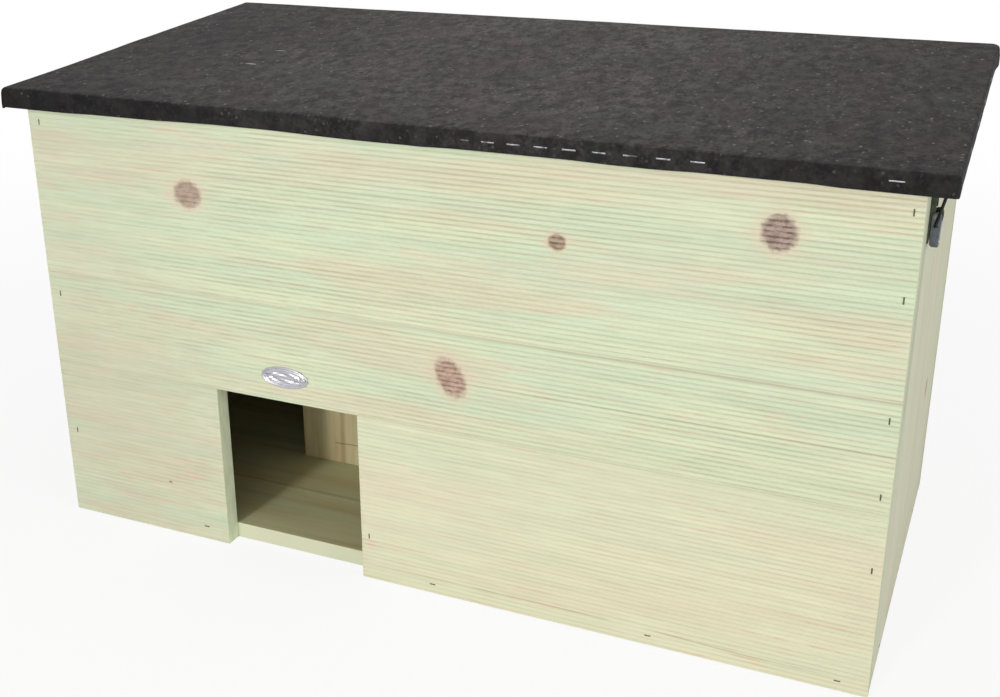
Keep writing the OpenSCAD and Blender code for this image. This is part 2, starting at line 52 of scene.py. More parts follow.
# The front's board courses and ribs, as in the CAD model
COURSE_1 = 125 * MM
COURSE_2 = 195 * MM
TONGUE = 4 * MM
RIB_PITCH = 3.2 * MM
RIB_DEPTH = 0.5 * MM
FRONT_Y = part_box("front_middle_board")[0].y

# One groove of the middle course shows darker on the right
DARK_GROOVE = 161.8 * MM
# The foot of the lower right board is a plain strip, which gets lower towards its right end
STRIP_TOP = 12 * MM
STRIP_FALL = 2.5 * MM
STRIP_FALL_FROM = 142 * MM
STRIP_FALL_TO = 228 * MM


def place_in_scene(name, data):
    made = bpy.data.objects.new(name, data)
    bpy.context.scene.collection.objects.link(made)
    return made


# Camera: the photograph's view, from the front right and a little above
def make_camera():
    data = bpy.data.cameras.new("photo_camera")
    data.sensor_width = 36.0
    data.lens = 45.869
    data.shift_x = 0.00395
    data.shift_y = -0.0367
    data.clip_start = 0.01
    data.clip_end = 50.0
    camera = place_in_scene("photo_camera", data)
    camera.location = (0.34594, -0.83110, 0.48899)
    camera.rotation_euler = (math.radians(69.67), 0.0, math.radians(23.15))
    bpy.context.scene.camera = camera


make_camera()


# Node helpers
def put(tree, socket, value):
    """Links a socket to another one, or sets its value."""
    if isinstance(value, bpy.types.NodeSocket):
        tree.links.new(value, socket)
    elif isinstance(value, (tuple, list)) and socket.type == "RGBA" and len(value) == 3:
        socket.default_value = (*value, 1.0)
    else:
        socket.default_value = value


def add(tree, kind, values=None, **settings):
    node = tree.nodes.new("ShaderNode" + kind)
    for key, value in settings.items():
        setattr(node, key, value)
    for key, value in (values or {}).items():
        put(tree, node.inputs[key], value)
    return node


def calc(tree, operation, *values, clamp=False):
    node = add(tree, "Math", dict(enumerate(values)), operation=operation, use_clamp=clamp)
    return node.outputs[0]


def times(tree, first, second, clamp=False):
    return calc(tree, "MULTIPLY", first, second, clamp=clamp)


def plus(tree, first, second, clamp=False):
    return calc(tree, "ADD", first, second, clamp=clamp)


def minus(tree, first, second):
    return calc(tree, "SUBTRACT", first, second)


def away_from(tree, value, middle):
    """How far a value is from a middle, on either side of it."""
    return calc(tree, "ABSOLUTE", minus(tree, value, middle))


def vector_calc(tree, operation, *values):
    node = add(tree, "VectorMath", dict(enumerate(values)), operation=operation)
    return node.outputs["Value" if operation in ("LENGTH", "DOT_PRODUCT") else "Vector"]


def remap(tree, value, low, high, to_low=0.0, to_high=1.0):
    """Value taken smoothly from the range low to high to the range to_low to to_high."""
    node = add(
        tree, "MapRange",
        {"Value": value, "From Min": low, "From Max": high, "To Min": to_low, "To Max": to_high},
        interpolation_type="SMOOTHSTEP",
    )
    return node.outputs["Result"]


def tint(tree, factor, first, second, mode="MIX"):
    node = add(tree, "Mix", {0: factor, 6: first, 7: second}, data_type="RGBA", blend_type=mode)
    return node.outputs[2]


def split(tree, vector):
    return add(tree, "SeparateXYZ", {0: vector}).outputs


def join(tree, x, y, z):
    return add(tree, "CombineXYZ", {0: x, 1: y, 2: z}).outputs[0]


def shaded(tree, colour, tone):
    """A colour made darker or lighter by one factor."""
    return tint(tree, 1.0, colour, join(tree, tone, tone, tone), "MULTIPLY")


def clouds(tree, vector, scale, detail=2.0, roughness=0.5):
    values = {"Vector": vector, "Scale": scale, "Detail": detail, "Roughness": roughness}
    return add(tree, "TexNoise", values).outputs["Fac"]


def stretched(tree, vector, factors):
    return vector_calc(tree, "MULTIPLY", vector, factors)


def streaks(tree, vector, factors, detail=2.0, roughness=0.5):
    """Clouds drawn out along the axes that have small factors."""
    return clouds(tree, stretched(tree, vector, factors), 1.0, detail, roughness)


def new_group(name, inputs, outputs):
    """A shader node group: inputs are (name, type, default), outputs are (name, type)."""
    group = bpy.data.node_groups.new(name, "ShaderNodeTree")
    for label, kind, default in inputs:
        socket = group.interface.new_socket(
            label, in_out="INPUT", socket_type="NodeSocket" + kind)
        if default is not None:
            socket.default_value = (*default, 1.0) if kind == "Color" else default
    for label, kind in outputs:
        group.interface.new_socket(label, in_out="OUTPUT", socket_type="NodeSocket" + kind)
    ins = group.nodes.new("NodeGroupInput").outputs
    outs = group.nodes.new("NodeGroupOutput").inputs
    return group, ins, outs


def use(tree, group, values):
    node = tree.nodes.new("ShaderNodeGroup")
    node.node_tree = group
    for key, value in values.items():
        put(tree, node.inputs[key], value)
    return node.outputs


def new_material(name):
    material = bpy.data.materials.new(name)
    material.use_nodes = True
    tree = material.node_tree
    return material, tree, tree.nodes["Principled BSDF"]


def object_place(tree):
    return add(tree, "TexCoord").outputs["Object"]


def face_direction(tree):
    """The three parts of the direction that a face looks in."""
    return split(tree, add(tree, "TexCoord").outputs["Normal"])


def bump(tree, shader, height, strength, distance):
    node = add(tree, "Bump", {"Height": height, "Strength": strength, "Distance": distance})
    put(tree, shader.inputs["Normal"], node.outputs["Normal"])


def srgb(red, green, blue):
    """A colour written as 0 to 255, as the linear values that the nodes take."""
    return tuple(
        (c / 255 / 12.92) if c <= 10 else ((c / 255 + 0.055) / 1.055) ** 2.4
        for c in (red, green, blue)
    )


# Planed pine: the grain runs along the vector's X
def make_pine_group():
    group, ins, outs = new_group(
        "planed pine",
        [("Vector", "Vector", None), ("Light wood", "Color", srgb(214, 214, 186)),
         ("Green stain", "Color", srgb(202, 216, 180)), ("Warm wood", "Color", srgb(218, 203, 174)),
         ("Stain amount", "Float", 0.6), ("Warm amount", "Float", 0.5), ("Ring depth", "Float", 0.07)],
        [("Color", "Color"), ("Fibre", "Float")],
    )
    wander_width = 18 * MM
    brightest = 1.02
    fibre_depth = 0.06
    vector = ins["Vector"]
    # The grain wanders a little as it runs along the board
    drift = streaks(group, vector, (3.0, 9.0, 9.0), 1.0)
    shift = times(group, minus(group, drift, 0.5), wander_width)
    wander = vector_calc(group, "ADD", vector, join(group, 0.0, shift, shift))
    patch = stretched(group, wander, (6.0, 46.0, 46.0))
    stain = clouds(group, patch, 1.0, 3.0, 0.55)
    warm = clouds(group, vector_calc(group, "ADD", patch, (7.3, 2.1, 4.4)), 1.0, 3.0, 0.55)
    rings = streaks(group, wander, (1.6, 95.0, 95.0))
    fibre = streaks(group, wander, (28.0, 1100.0, 1100.0))
    stain_mask = times(group, remap(group, stain, 0.40, 0.62), ins["Stain amount"])
    warm_mask = times(group, remap(group, warm, 0.46, 0.66), ins["Warm amount"])
    colour = tint(group, stain_mask, ins["Light wood"], ins["Green stain"])
    colour = tint(group, warm_mask, colour, ins["Warm wood"])
    ring_shade = times(group, remap(group, rings, 0.50, 0.64), ins["Ring depth"])
    fibre_shade = times(group, remap(group, fibre, 0.3, 0.75), fibre_depth)
    tone = minus(group, minus(group, brightest, ring_shade), fibre_shade)
    put(group, outs["Color"], shaded(group, colour, tone))
    put(group, outs["Fibre"], fibre)
    return group


# A knot: a mottled core with a dark rim and a reddish halo. On ribbed wood the grooves cross it dark.
def make_knot_group():
    group, ins, outs = new_group(
        "knot",
        [("Vector", "Vector", None), ("Color", "Color", None), ("Centre", "Vector", (0, 0, 0)),
         ("Size", "Vector", (0.01, 1.0, 0.01)), ("Turn", "Float", 0.0),
         ("Core", "Color", srgb(140, 112, 98)), ("Heart", "Color", srgb(186, 156, 140)),
         ("Halo", "Color", srgb(224, 203, 180)), ("Band", "Float", 0.0)],
        [("Color", "Color")],
    )
    place = vector_calc(group, "SUBTRACT", ins["Vector"], ins["Centre"])
    turned = add(group, "VectorRotate", {"Vector": place, "Angle": ins["Turn"]},
                 rotation_type="Y_AXIS").outputs["Vector"]
    scaled = vector_calc(group, "DIVIDE", turned, ins["Size"])
    ragged = streaks(group, place, (230.0, 230.0, 400.0), 3.0)
    ragged = times(group, minus(group, ragged, 0.5), 0.5)
    away = plus(group, vector_calc(group, "LENGTH", scaled), ragged)
    core = remap(group, away, 0.72, 1.16, 1.0, 0.0)
    # The halo follows the grain to both sides in thin streaks
    wide = vector_calc(group, "LENGTH", stretched(group, scaled, (0.42, 1.0, 0.72)))
    halo = remap(group, plus(group, wide, ragged), 0.35, 1.05, 1.0, 0.0)
    thin = streaks(group, place, (32.0, 32.0, 520.0))
    halo_mask = times(group, halo, remap(group, thin, 0.40, 0.66, 0.1, 0.8))
    halo_mask = calc(group, "MAXIMUM", halo_mask, remap(group, away, 0.95, 1.75, 0.55, 0.0))
    mottle = streaks(group, place, (170.0, 170.0, 340.0), 3.0, 0.6)
    rim = times(group, remap(group, away, 0.55, 0.9), 0.25)
    stroke = times(group, ins["Band"], remap(group, mottle, 0.36, 0.58, 0.35, 0.85))
    dark = plus(group, remap(group, mottle, 0.40, 0.66, 0.05, 0.6), rim)
    dark = plus(group, dark, stroke, clamp=True)
    wood = tint(group, dark, ins["Heart"], ins["Core"])
    colour = tint(group, halo_mask, ins["Color"], ins["Halo"])
    put(group, outs["Color"], tint(group, times(group, core, 0.94), colour, wood))
    return group


# The grooves between the ribs, and reddish dashes of summer wood that lie in them
def make_rib_group():
    group, ins, outs = new_group(
        "rib lines",
        [("Vector", "Vector", None), ("Place", "Vector", None), ("Pitch", "Float", RIB_PITCH),
         ("Start", "Float", 0.0)],
        [("Groove", "Float"), ("Band", "Float"), ("Dash", "Float"), ("Row tone", "Float")],
    )
    x, _, z = split(group, ins["Vector"])
    row = calc(group, "DIVIDE", minus(group, z, ins["Start"]), ins["Pitch"])
    off_groove = away_from(group, calc(group, "FRACT", row), 0.5)
    groove_number = calc(group, "FLOOR", row)
    rib_number = calc(group, "FLOOR", plus(group, row, 0.5))

    def per_row(number, stretch, step, layer, detail):
        """Clouds along X that are different on each row."""
        spot = join(group, times(group, x, stretch), times(group, number, step), layer)
        return clouds(group, spot, 1.0, detail, 0.6)

    put(group, outs["Row tone"], per_row(rib_number, 14.0, 1.93, 4.0, 3.0))
    band = remap(group, off_groove, 0.05, 0.36, 1.0, 0.0)
    put(group, outs["Band"], band)
    region = streaks(group, ins["Vector"], (6.0, 1.0, 24.0))
    weakest = remap(group, split(group, ins["Place"])[0], -0.22, 0.05, 0.05, 0.5)
    deep = remap(group, per_row(groove_number, 22.0, 1.37, 9.0, 2.0), 0.38, 0.60, weakest, 1.0)
    deep = times(group, deep, remap(group, region, 0.36, 0.58, 0.55, 1.0))
    put(group, outs["Groove"], times(group, band, deep))
    # The dashes of neighbouring grooves gather where the same growth ring comes up
    dash = remap(group, per_row(groove_number, 17.0, 2.71, 0.0, 4.0), 0.53, 0.66)
    area = streaks(group, ins["Vector"], (5.5, 1.0, 26.0), 3.0, 0.6)
    area = remap(group, area, 0.44, 0.60, 0.25, 1.0)
    put(group, outs["Dash"], times(group, times(group, dash, area), band))
    return group


# Mineral granules on roofing felt
def make_granule_group():
    group, ins, outs = new_group(
        "granules",
        [("Vector", "Vector", None), ("Dark", "Color", srgb(48, 45, 45)),
         ("Light", "Color", srgb(97, 91, 91)), ("Speck", "Color", srgb(150, 146, 141)),
         ("Tone", "Float", 1.0), ("Bare", "Float", 0.0)],
        [("Color", "Color"), ("Height", "Float")],
    )
    greenish = srgb(70, 79, 75)
    brownish = srgb(85, 74, 71)
    bitumen = srgb(30, 28, 29)
    outline_wobble = 2.4 * MM
    vector = stretched(group, ins["Vector"], (1.0, 0.7, 1.0))
    fine = clouds(group, vector, 440.0, 2.0, 0.6)
    clumps = clouds(group, vector, 125.0, 3.0, 0.6)
    slow = clouds(group, vector, 30.0)
    hue = clouds(group, vector_calc(group, "ADD", vector, (5.0, 2.0, 1.0)), 34.0)
    mixed = plus(group, times(group, fine, 0.4), times(group, clumps, 0.6))
    light = times(group, remap(group, mixed, 0.37, 0.64), remap(group, slow, 0.3, 0.7, 0.68, 1.12))
    light = times(group, light, minus(group, 1.0, ins["Bare"]), clamp=True)
    colour = tint(group, light, ins["Dark"], ins["Light"])
    colour = tint(group, remap(group, hue, 0.54, 0.68, 0.0, 0.35), colour, greenish)
    colour = tint(group, remap(group, hue, 0.34, 0.48, 0.32, 0.0), colour, brownish)
    colour = shaded(group, colour, ins["Tone"])
    # Single grains that stand out, light or dark, each with an uneven outline
    bend = add(group, "TexNoise", {"Vector": vector, "Scale": 700.0}).outputs["Color"]
    bend = add(group, "VectorMath", {0: bend, "Scale": outline_wobble}, operation="SCALE").outputs[0]
    grain = add(group, "TexVoronoi", {"Vector": vector_calc(group, "ADD", vector, bend), "Scale": 360.0})
    red, green, _ = split(group, grain.outputs["Color"])
    dot = remap(group, grain.outputs["Distance"], 0.15, 0.48, 1.0, 0.0)
    pale = times(group, remap(group, red, 0.88, 1.0, 0.0, 0.6), dot)
    black = times(group, remap(group, green, 0.74, 0.88, 0.0, 0.9), dot)
    colour = tint(group, black, colour, bitumen)
    colour = tint(group, pale, colour, ins["Speck"])
    put(group, outs["Color"], colour)
    put(group, outs["Height"], plus(group, mixed, times(group, dot, 0.35)))
    return group


# Handled metal: mottled stains, small scratches and an uneven roughness
def make_metal_group():
    group, ins, outs = new_group(
        "handled metal",
        [("Vector", "Vector", None), ("Color", "Color", None), ("Stain", "Color", None),
         ("Stain amount", "Float", 0.4), ("Smooth", "Float", 0.3), ("Rough", "Float", 0.5)],
        [("Color", "Color"), ("Roughness", "Float"), ("Height", "Float")],
    )
    mottle = clouds(group, ins["Vector"], 260.0, 4.0, 0.6)
    slow = clouds(group, ins["Vector"], 55.0)
    scratch = streaks(group, ins["Vector"], (300.0, 2400.0, 300.0))
    mask = times(group, remap(group, mottle, 0.42, 0.66), ins["Stain amount"])
    put(group, outs["Color"], tint(group, mask, ins["Color"], ins["Stain"]))
    blend = plus(group, times(group, slow, 0.5), times(group, scratch, 0.5))
    rough = add(group, "MapRange", {"Value": blend, "From Min": 0.3, "From Max": 0.7,
                                    "To Min": ins["Smooth"], "To Max": ins["Rough"]})
    put(group, outs["Roughness"], rough.outputs["Result"])
    put(group, outs["Height"], plus(group, scratch, mottle))
    return group


pine = make_pine_group()
knot = make_knot_group()
rib_lines = make_rib_group()
granules = make_granule_group()
handled = make_metal_group()

# Wood inside the house: yellower, as it was never weathered, and much darker with painted shade that stands in for
# the dim light inside
INSIDE_WOOD_AND_SHADE = srgb(130, 112, 72)

# Knots in the front: x, z, half width, half height, lean, how dark the grooves cross it,
# core colour, heart colour
FRONT_KNOTS = [
    (-171, 265.7, 11, 9.6, 0.0, 0.3, srgb(146, 124, 108), srgb(184, 162, 146)),
    (94, 264.4, 5.8, 5.4, 0.0, 0.7, srgb(122, 102, 82), srgb(184, 162, 142)),
    (22.6, 164.4, 9.8, 14.2, 0.5, 0.75, srgb(144, 116, 102), srgb(200, 170, 152)),
    (224.5, 285.5, 10.4, 11.0, 0.1, 0.85, srgb(116, 96, 86), srgb(182, 160, 148)),
    (-208.2, 41.6, 1.6, 0.9, 0.0, 0.5, srgb(120, 116, 92), srgb(150, 142, 116)),
]


def front_weathering(tree, place, low_right, colour):
    """Slow changes of colour over the front."""
    warm_board = srgb(232, 221, 190)
    joint_blend = srgb(218, 221, 189)
    warm_patch = srgb(216, 204, 178)
    x, _, z = split(tree, place)
    # The lower right board is warmer, most of all low down
    warmer = times(tree, low_right, remap(tree, z, 0.07, 0.13, 0.48, 0.25))
    colour = tint(tree, warmer, colour, warm_board)
    # On the right, the colours of the lower two courses run into each other
    near_joint = remap(tree, away_from(tree, z, COURSE_1), 0.0, 0.034, 0.8, 0.0)
    colour = tint(tree, times(tree, near_joint, remap(tree, x, 0.0, 0.13)), colour, joint_blend)
    # A warm patch with a soft and uneven edge at the left end
    centre, size = (-0.24, FRONT_Y, 0.1), (0.12, 1.0, 0.11)
    off = vector_calc(tree, "DIVIDE", vector_calc(tree, "SUBTRACT", place, centre), size)
    rough = streaks(tree, place, (30.0, 60.0, 60.0), 3.0)
    away = calc(tree, "MULTIPLY_ADD", rough, 1.2, vector_calc(tree, "LENGTH", off))
    return tint(tree, remap(tree, away, 0.9, 1.7, 0.4, 0.0), colour, warm_patch)


def front_grooves(tree, place, low_right, ribs, colour):
    """The tone of each rib, the grooves' shade and the dashes in them."""
    groove_shade = srgb(168, 166, 134)
    summer_wood = srgb(222, 184, 161)
    x, _, z = split(tree, place)
    side_tone = remap(tree, x, -0.3, -0.08, 0.91, 1.0)
    tone = times(tree, remap(tree, ribs["Row tone"], 0.3, 0.7, 0.965, 1.035), side_tone)
    colour = shaded(tree, colour, tone)
    # The grooves fade to the left and are shallow on the lower right board
    fade = remap(tree, x, -0.31, -0.12, 0.5, 1.0)
    fade = times(tree, fade, minus(tree, 1.0, times(tree, low_right, 0.3)))
    groove = times(tree, ribs["Groove"], fade)
    colour = tint(tree, times(tree, groove, 0.36), colour, groove_shade)
    dash = times(tree, ribs["Dash"], remap(tree, x, -0.12, 0.08, 0.6, 0.42))
    dash = times(tree, dash, remap(tree, z, 0.03, 0.12, 1.7, 1.0))
    return tint(tree, dash, colour, summer_wood)


def front_joint_lines(tree, place, colour):
    """Shade in the joints between the courses, in the dark groove and above the plain strip."""
    joint_shade = srgb(158, 148, 120)
    x, _, z = split(tree, place)
    strip = minus(tree, STRIP_TOP, remap(tree, x, STRIP_FALL_FROM, STRIP_FALL_TO, 0.0, STRIP_FALL))
    right_part = remap(tree, x, -0.04, 0.03)
    broken = remap(tree, streaks(tree, place, (16.0, 1.0, 1.0), 3.0), 0.4, 0.6)
    strip_amount = times(tree, times(tree, right_part, 0.5), broken)
    for level, amount, reach in ((COURSE_1, 0.2, 0.9),
                                 (COURSE_2, remap(tree, x, -0.1, 0.15, 0.15, 0.42), 1.0),
                                 (DARK_GROOVE, times(tree, right_part, 0.3), 0.9),
                                 (strip, strip_amount, 0.7)):
        line = remap(tree, away_from(tree, z, level), 0.2 * MM, reach * MM, 1.0, 0.0)
        colour = tint(tree, times(tree, line, amount), colour, joint_shade)
    return colour


def front_knots(tree, place, ribs, colour):
    for x, z, half_w, half_h, lean, crossed, core, heart in FRONT_KNOTS:
        values = {"Vector": place, "Color": colour, "Centre": (x * MM, FRONT_Y, z * MM),
                  "Size": (half_w * MM, 1.0, half_h * MM), "Turn": lean, "Core": core,
                  "Heart": heart, "Band": times(tree, ribs["Band"], crossed)}
        colour = use(tree, knot, values)["Color"]
    return colour


def front_ends_and_inside(tree, place, colour):
    """End grain, where the growth rings show as arcs and which is paler with painted light except at the right
    end, and the faces that look into the house, darker with painted shade.
    """
    # The end grain is paler than the front's face: painted light that stands in for light on the sides of the
    # entrance. At the right end it is darker.
    lit_end_pale = srgb(231, 239, 210)
    lit_end_dark = srgb(218, 226, 195)
    right_end = srgb(196, 202, 172)
    x, _, _ = split(tree, place)
    facing = face_direction(tree)
    growth = streaks(tree, place, (1.0, 300.0, 70.0))
    end_colour = tint(tree, remap(tree, growth, 0.35, 0.65), lit_end_pale, lit_end_dark)
    end_colour = tint(tree, remap(tree, x, 0.2, 0.25), end_colour, right_end)
    end = remap(tree, calc(tree, "ABSOLUTE", facing[0]), 0.6, 0.9)
    colour = tint(tree, times(tree, end, 0.9), colour, end_colour)
    # The faces that look into the house take the inside wood colour, darkened with painted shade
    return tint(tree, times(tree, remap(tree, facing[1], 0.4, 0.7), 0.85), colour, INSIDE_WOOD_AND_SHADE)


def finish_wood(tree, shader, colour, fibre, smooth, rough, strength):
    """A board's colour, its dull surface and the relief of its fibres."""
    put(tree, shader.inputs["Base Color"], colour)
    put(tree, shader.inputs["Roughness"], remap(tree, fibre, 0.2, 0.8, smooth, rough))
    shader.inputs["Specular IOR Level"].default_value = 0.25
    bump(tree, shader, fibre, strength, 0.2 * MM)


def make_ribbed_wood():
    material, tree, shader = new_material("ribbed_pine")
    place = object_place(tree)
    x, _, z = split(tree, place)
    # Each course is cut from another plank, so its pattern starts elsewhere
    plank_shift = 3.7
    above_1 = calc(tree, "GREATER_THAN", z, COURSE_1)
    above_2 = calc(tree, "GREATER_THAN", z, COURSE_2)
    on_right = calc(tree, "GREATER_THAN", x, -0.1)
    low_right = times(tree, on_right, minus(tree, 1.0, above_1))
    plank = plus(tree, plus(tree, above_1, above_2), times(tree, low_right, 0.5))
    offset = times(tree, plank, plank_shift)
    start = plus(tree, times(tree, above_1, COURSE_1), times(tree, above_2, COURSE_2 - COURSE_1))
    shifted = vector_calc(tree, "ADD", place, join(tree, offset, offset, 0.0))
    ribs = use(tree, rib_lines,
               {"Vector": shifted, "Place": place, "Pitch": RIB_PITCH, "Start": start})
    wood = use(tree, pine, {
        "Vector": shifted, "Light wood": srgb(220, 225, 194), "Green stain": srgb(208, 223, 193),
        "Warm wood": srgb(222, 213, 187), "Stain amount": 0.65, "Warm amount": 0.75,
        "Ring depth": 0.035})
    colour = front_weathering(tree, place, low_right, wood["Color"])
    colour = front_grooves(tree, place, low_right, ribs, colour)
    colour = front_joint_lines(tree, place, colour)
    colour = front_knots(tree, place, ribs, colour)
    colour = front_ends_and_inside(tree, place, colour)
    finish_wood(tree, shader, colour, wood["Fibre"], 0.62, 0.8, 0.25)
    return material


def latch_shadow_streak(tree, place, colour):
    """A grey-green streak of painted shadow down the right wall, below the latch and the lid, behind the front
    boards.
    """
    x, y, z = split(tree, place)
    middle = calc(tree, "MULTIPLY_ADD", streaks(tree, place, (1.0, 1.0, 9.0)), 0.016, -0.138)
    mask = remap(tree, away_from(tree, y, middle), 0.002, 0.015, 0.7, 0.0)
    mask = times(tree, mask, remap(tree, z, 0.1, 0.22))
    mask = times(tree, mask, calc(tree, "GREATER_THAN", x, 0.0))
    return tint(tree, mask, colour, srgb(172, 180, 152))


def floor_joint(tree, place, colour):
    """Dirt along the joint between the front and the middle floor board."""
    joint_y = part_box("floor_front_board")[1].y
    off = away_from(tree, split(tree, place)[1], joint_y)
    return tint(tree, remap(tree, off, 0.35 * MM, 1.2 * MM, 0.4, 0.0), colour, srgb(128, 106, 70))


def short_crack(tree, place, colour):
    """A short crack low down on the face of the cross board."""
    crack_x, slope, rise, wobble = -131.2 * MM, 0.043, 34.3 * MM, 2.2 * MM
    x, _, z = split(tree, place)
    level = calc(tree, "MULTIPLY_ADD", x, slope, rise)
    level = plus(tree, level, times(tree, streaks(tree, place, (320.0, 1.0, 1.0)), wobble))
    mask = times(tree, remap(tree, away_from(tree, z, level), 0.15 * MM, 0.5 * MM, 0.75, 0.0),
                 remap(tree, away_from(tree, x, crack_x), 9 * MM, 11.5 * MM, 1.0, 0.0))
    return tint(tree, mask, colour, srgb(86, 74, 50))


def make_board_wood(name, grain, light, stain, warm, amounts, start, ring_depth=0.11, knots=(),
                    faces=(), detail=None):
    """Smooth boards: grain names the object axis along which it runs. Amounts are the stain's and the
    warm wood's. Knots lists (centre, size, turn), in mm. Faces lists (axis, way, colour, amount): a
    tint for the faces that look that way, or into the house where the way is 0."""
    material, tree, shader = new_material(name)
    place = object_place(tree)
    x, y, z = split(tree, place)
    order = {"X": (x, y, z), "Y": (y, x, z), "Z": (z, x, y)}[grain]
    wood = use(tree, pine, {
        "Vector": vector_calc(tree, "ADD", join(tree, *order), start),
        "Light wood": light, "Green stain": stain, "Warm wood": warm,
        "Stain amount": amounts[0], "Warm amount": amounts[1], "Ring depth": ring_depth})
    colour = wood["Color"]
    if detail:
        colour = detail(tree, place, colour)
    for centre, size, turn in knots:
        values = {"Vector": place, "Color": colour, "Centre": [c * MM for c in centre],
                  "Size": [c * MM for c in size], "Turn": turn,
                  "Core": srgb(140, 108, 88), "Heart": srgb(178, 146, 122), "Halo": srgb(206, 180, 150)}
        colour = use(tree, knot, values)["Color"]
    facing = face_direction(tree)
    for axis, way, shade, amount in faces:
        toward = facing[axis]
        if way == 0:
            toward = times(tree, toward, calc(tree, "SIGN", (x, y, z)[axis]))
        mask = remap(tree, times(tree, toward, way or -1.0), 0.4, 0.7, 0.0, amount)
        colour = tint(tree, mask, colour, shade)
    # Sawn ends are a little darker
    end = remap(tree, calc(tree, "ABSOLUTE", facing["XYZ".index(grain)]), 0.6, 0.9)
    colour = tint(tree, times(tree, end, 0.75), colour, srgb(178, 174, 142))
    finish_wood(tree, shader, colour, wood["Fibre"], 0.6, 0.78, 0.3)
    return material


def make_felt():
    material, tree, shader = new_material("roofing_felt")
    place = object_place(tree)
    x, y, _ = split(tree, place)
    # The faces that do not look up, the folded edges and the flaps, unevenly have fewer light granules and so look
    # darker
    uneven = times(tree, minus(tree, clouds(tree, place, 110.0, 3.0), 0.5), 0.7)
    edge = remap(tree, plus(tree, face_direction(tree)[2], uneven), 0.62, 0.92, 1.0, 0.0)
    patchy = remap(tree, clouds(tree, place, 45.0, 3.0), 0.35, 0.65, 0.0, 0.45)
    # The top is darker towards its ends and its front, and the flaps are darker still
    cloudy = remap(tree, clouds(tree, place, 9.0, 3.0), 0.3, 0.7, 0.79, 1.02)
    ends = remap(tree, away_from(tree, x, 0.03), 0.07, 0.3, 0.92, 0.52)
    front = remap(tree, y, -0.155, -0.115, 0.72, 1.0)
    tone = times(tree, times(tree, cloudy, ends), calc(tree, "MAXIMUM", front, edge))
    flap = remap(tree, x, -0.3, 0.3, 0.37, 0.47)
    tone = times(tree, tone, remap(tree, edge, 0.0, 1.0, 1.0, flap))
    speck = tint(tree, edge, srgb(140, 136, 132), srgb(98, 94, 94))
    felt = use(tree, granules,
               {"Vector": place, "Bare": times(tree, edge, patchy), "Tone": tone, "Speck": speck})
    put(tree, shader.inputs["Base Color"], felt["Color"])
    put(tree, shader.inputs["Roughness"], remap(tree, felt["Height"], 0.2, 0.9, 0.95, 0.8))
    shader.inputs["Specular IOR Level"].default_value = 0.22
    bump(tree, shader, felt["Height"], 0.38, 0.8 * MM)
    return material


def make_metal(name, colour, stain, amount, smooth, rough):
    material, tree, shader = new_material(name)
    values = {"Vector": object_place(tree), "Color": colour, "Stain": stain,
              "Stain amount": amount, "Smooth": smooth, "Rough": rough}
    metal = use(tree, handled, values)
    put(tree, shader.inputs["Base Color"], metal["Color"])
    put(tree, shader.inputs["Roughness"], metal["Roughness"])
    shader.inputs["Metallic"].default_value = 1.0
    bump(tree, shader, metal["Height"], 0.15, 0.08 * MM)
    return material


ribbed_pine = make_ribbed_wood()
# The faces of the wall boards that look into the house are darkened with painted shade
side_pine = make_board_wood(
    "side_pine", "Z", srgb(213, 211, 186), srgb(204, 212, 180), srgb(209, 200, 181), (0.55, 0.7),
    start=(0.4, 0.2, 0.9), ring_depth=0.05, faces=[(0, 0, INSIDE_WOOD_AND_SHADE, 0.85)], detail=latch_shadow_streak,
    knots=[((300, 62, 120), (200, 6, 7), 0.0), ((-300, -30, 210), (200, 8, 9), 0.0)])
# The faces of the back boards that look into the house are darkened with painted shade
back_pine = make_board_wood(
    "back_pine", "X", srgb(217, 219, 190), srgb(207, 219, 188), srgb(218, 208, 182), (0.6, 0.55),
    start=(1.9, 0.3, 0.1), ring_depth=0.07, faces=[(1, 0, INSIDE_WOOD_AND_SHADE, 0.85)],
    knots=[((-190, 150, 190), (10, 200, 9), 0.0), ((120, 150, 70), (8, 200, 10), 0.4),
           ((60, 150, 300), (6, 200, 6), 0.0)])
inner_pine = make_board_wood(
    "inner_pine", "Z", srgb(217, 205, 161), srgb(200, 197, 154), srgb(194, 172, 127), (0.5, 0.9),
    start=(2.4, 0.8, 0.2), ring_depth=0.16, detail=short_crack)
floor_pine = make_board_wood(
    "floor_pine", "X", srgb(200, 196, 153), srgb(191, 198, 155), srgb(190, 177, 128), (0.6, 0.6),
    start=(3.1, 0.5, 0.6), faces=[(1, -1, srgb(224, 226, 198), 0.85)], detail=floor_joint)
lid_pine = make_board_wood(
    "lid_pine", "X", srgb(216, 213, 184), srgb(204, 214, 180), srgb(214, 200, 174), (0.5, 0.6),
    start=(4.4, 0.1, 0.3), knots=[((-120, -40, 330), (9, 8, 200), 0.0),
                                  ((180, 60, 330), (7, 7, 200), 0.0)])
felt_material = make_felt()
zinc = make_metal("zinc_plate", srgb(150, 154, 156), srgb(104, 108, 108), 0.6, 0.26, 0.5)
green_zinc = make_metal("green_zinc", srgb(78, 86, 72), srgb(54, 60, 50), 0.6, 0.28, 0.5)
slate_zinc = make_metal("slate_zinc", srgb(100, 105, 110), srgb(76, 80, 84), 0.5, 0.24, 0.42)
dark_steel = make_metal("dark_steel", srgb(52, 52, 50), srgb(36, 36, 34), 0.5, 0.24, 0.42)
screw_steel = make_metal("screw_steel", srgb(132, 134, 134), srgb(86, 86, 82), 0.4, 0.22, 0.42)
bright_wire = make_metal("bright_wire", srgb(164, 165, 168), srgb(76, 76, 78), 0.95, 0.3, 0.5)
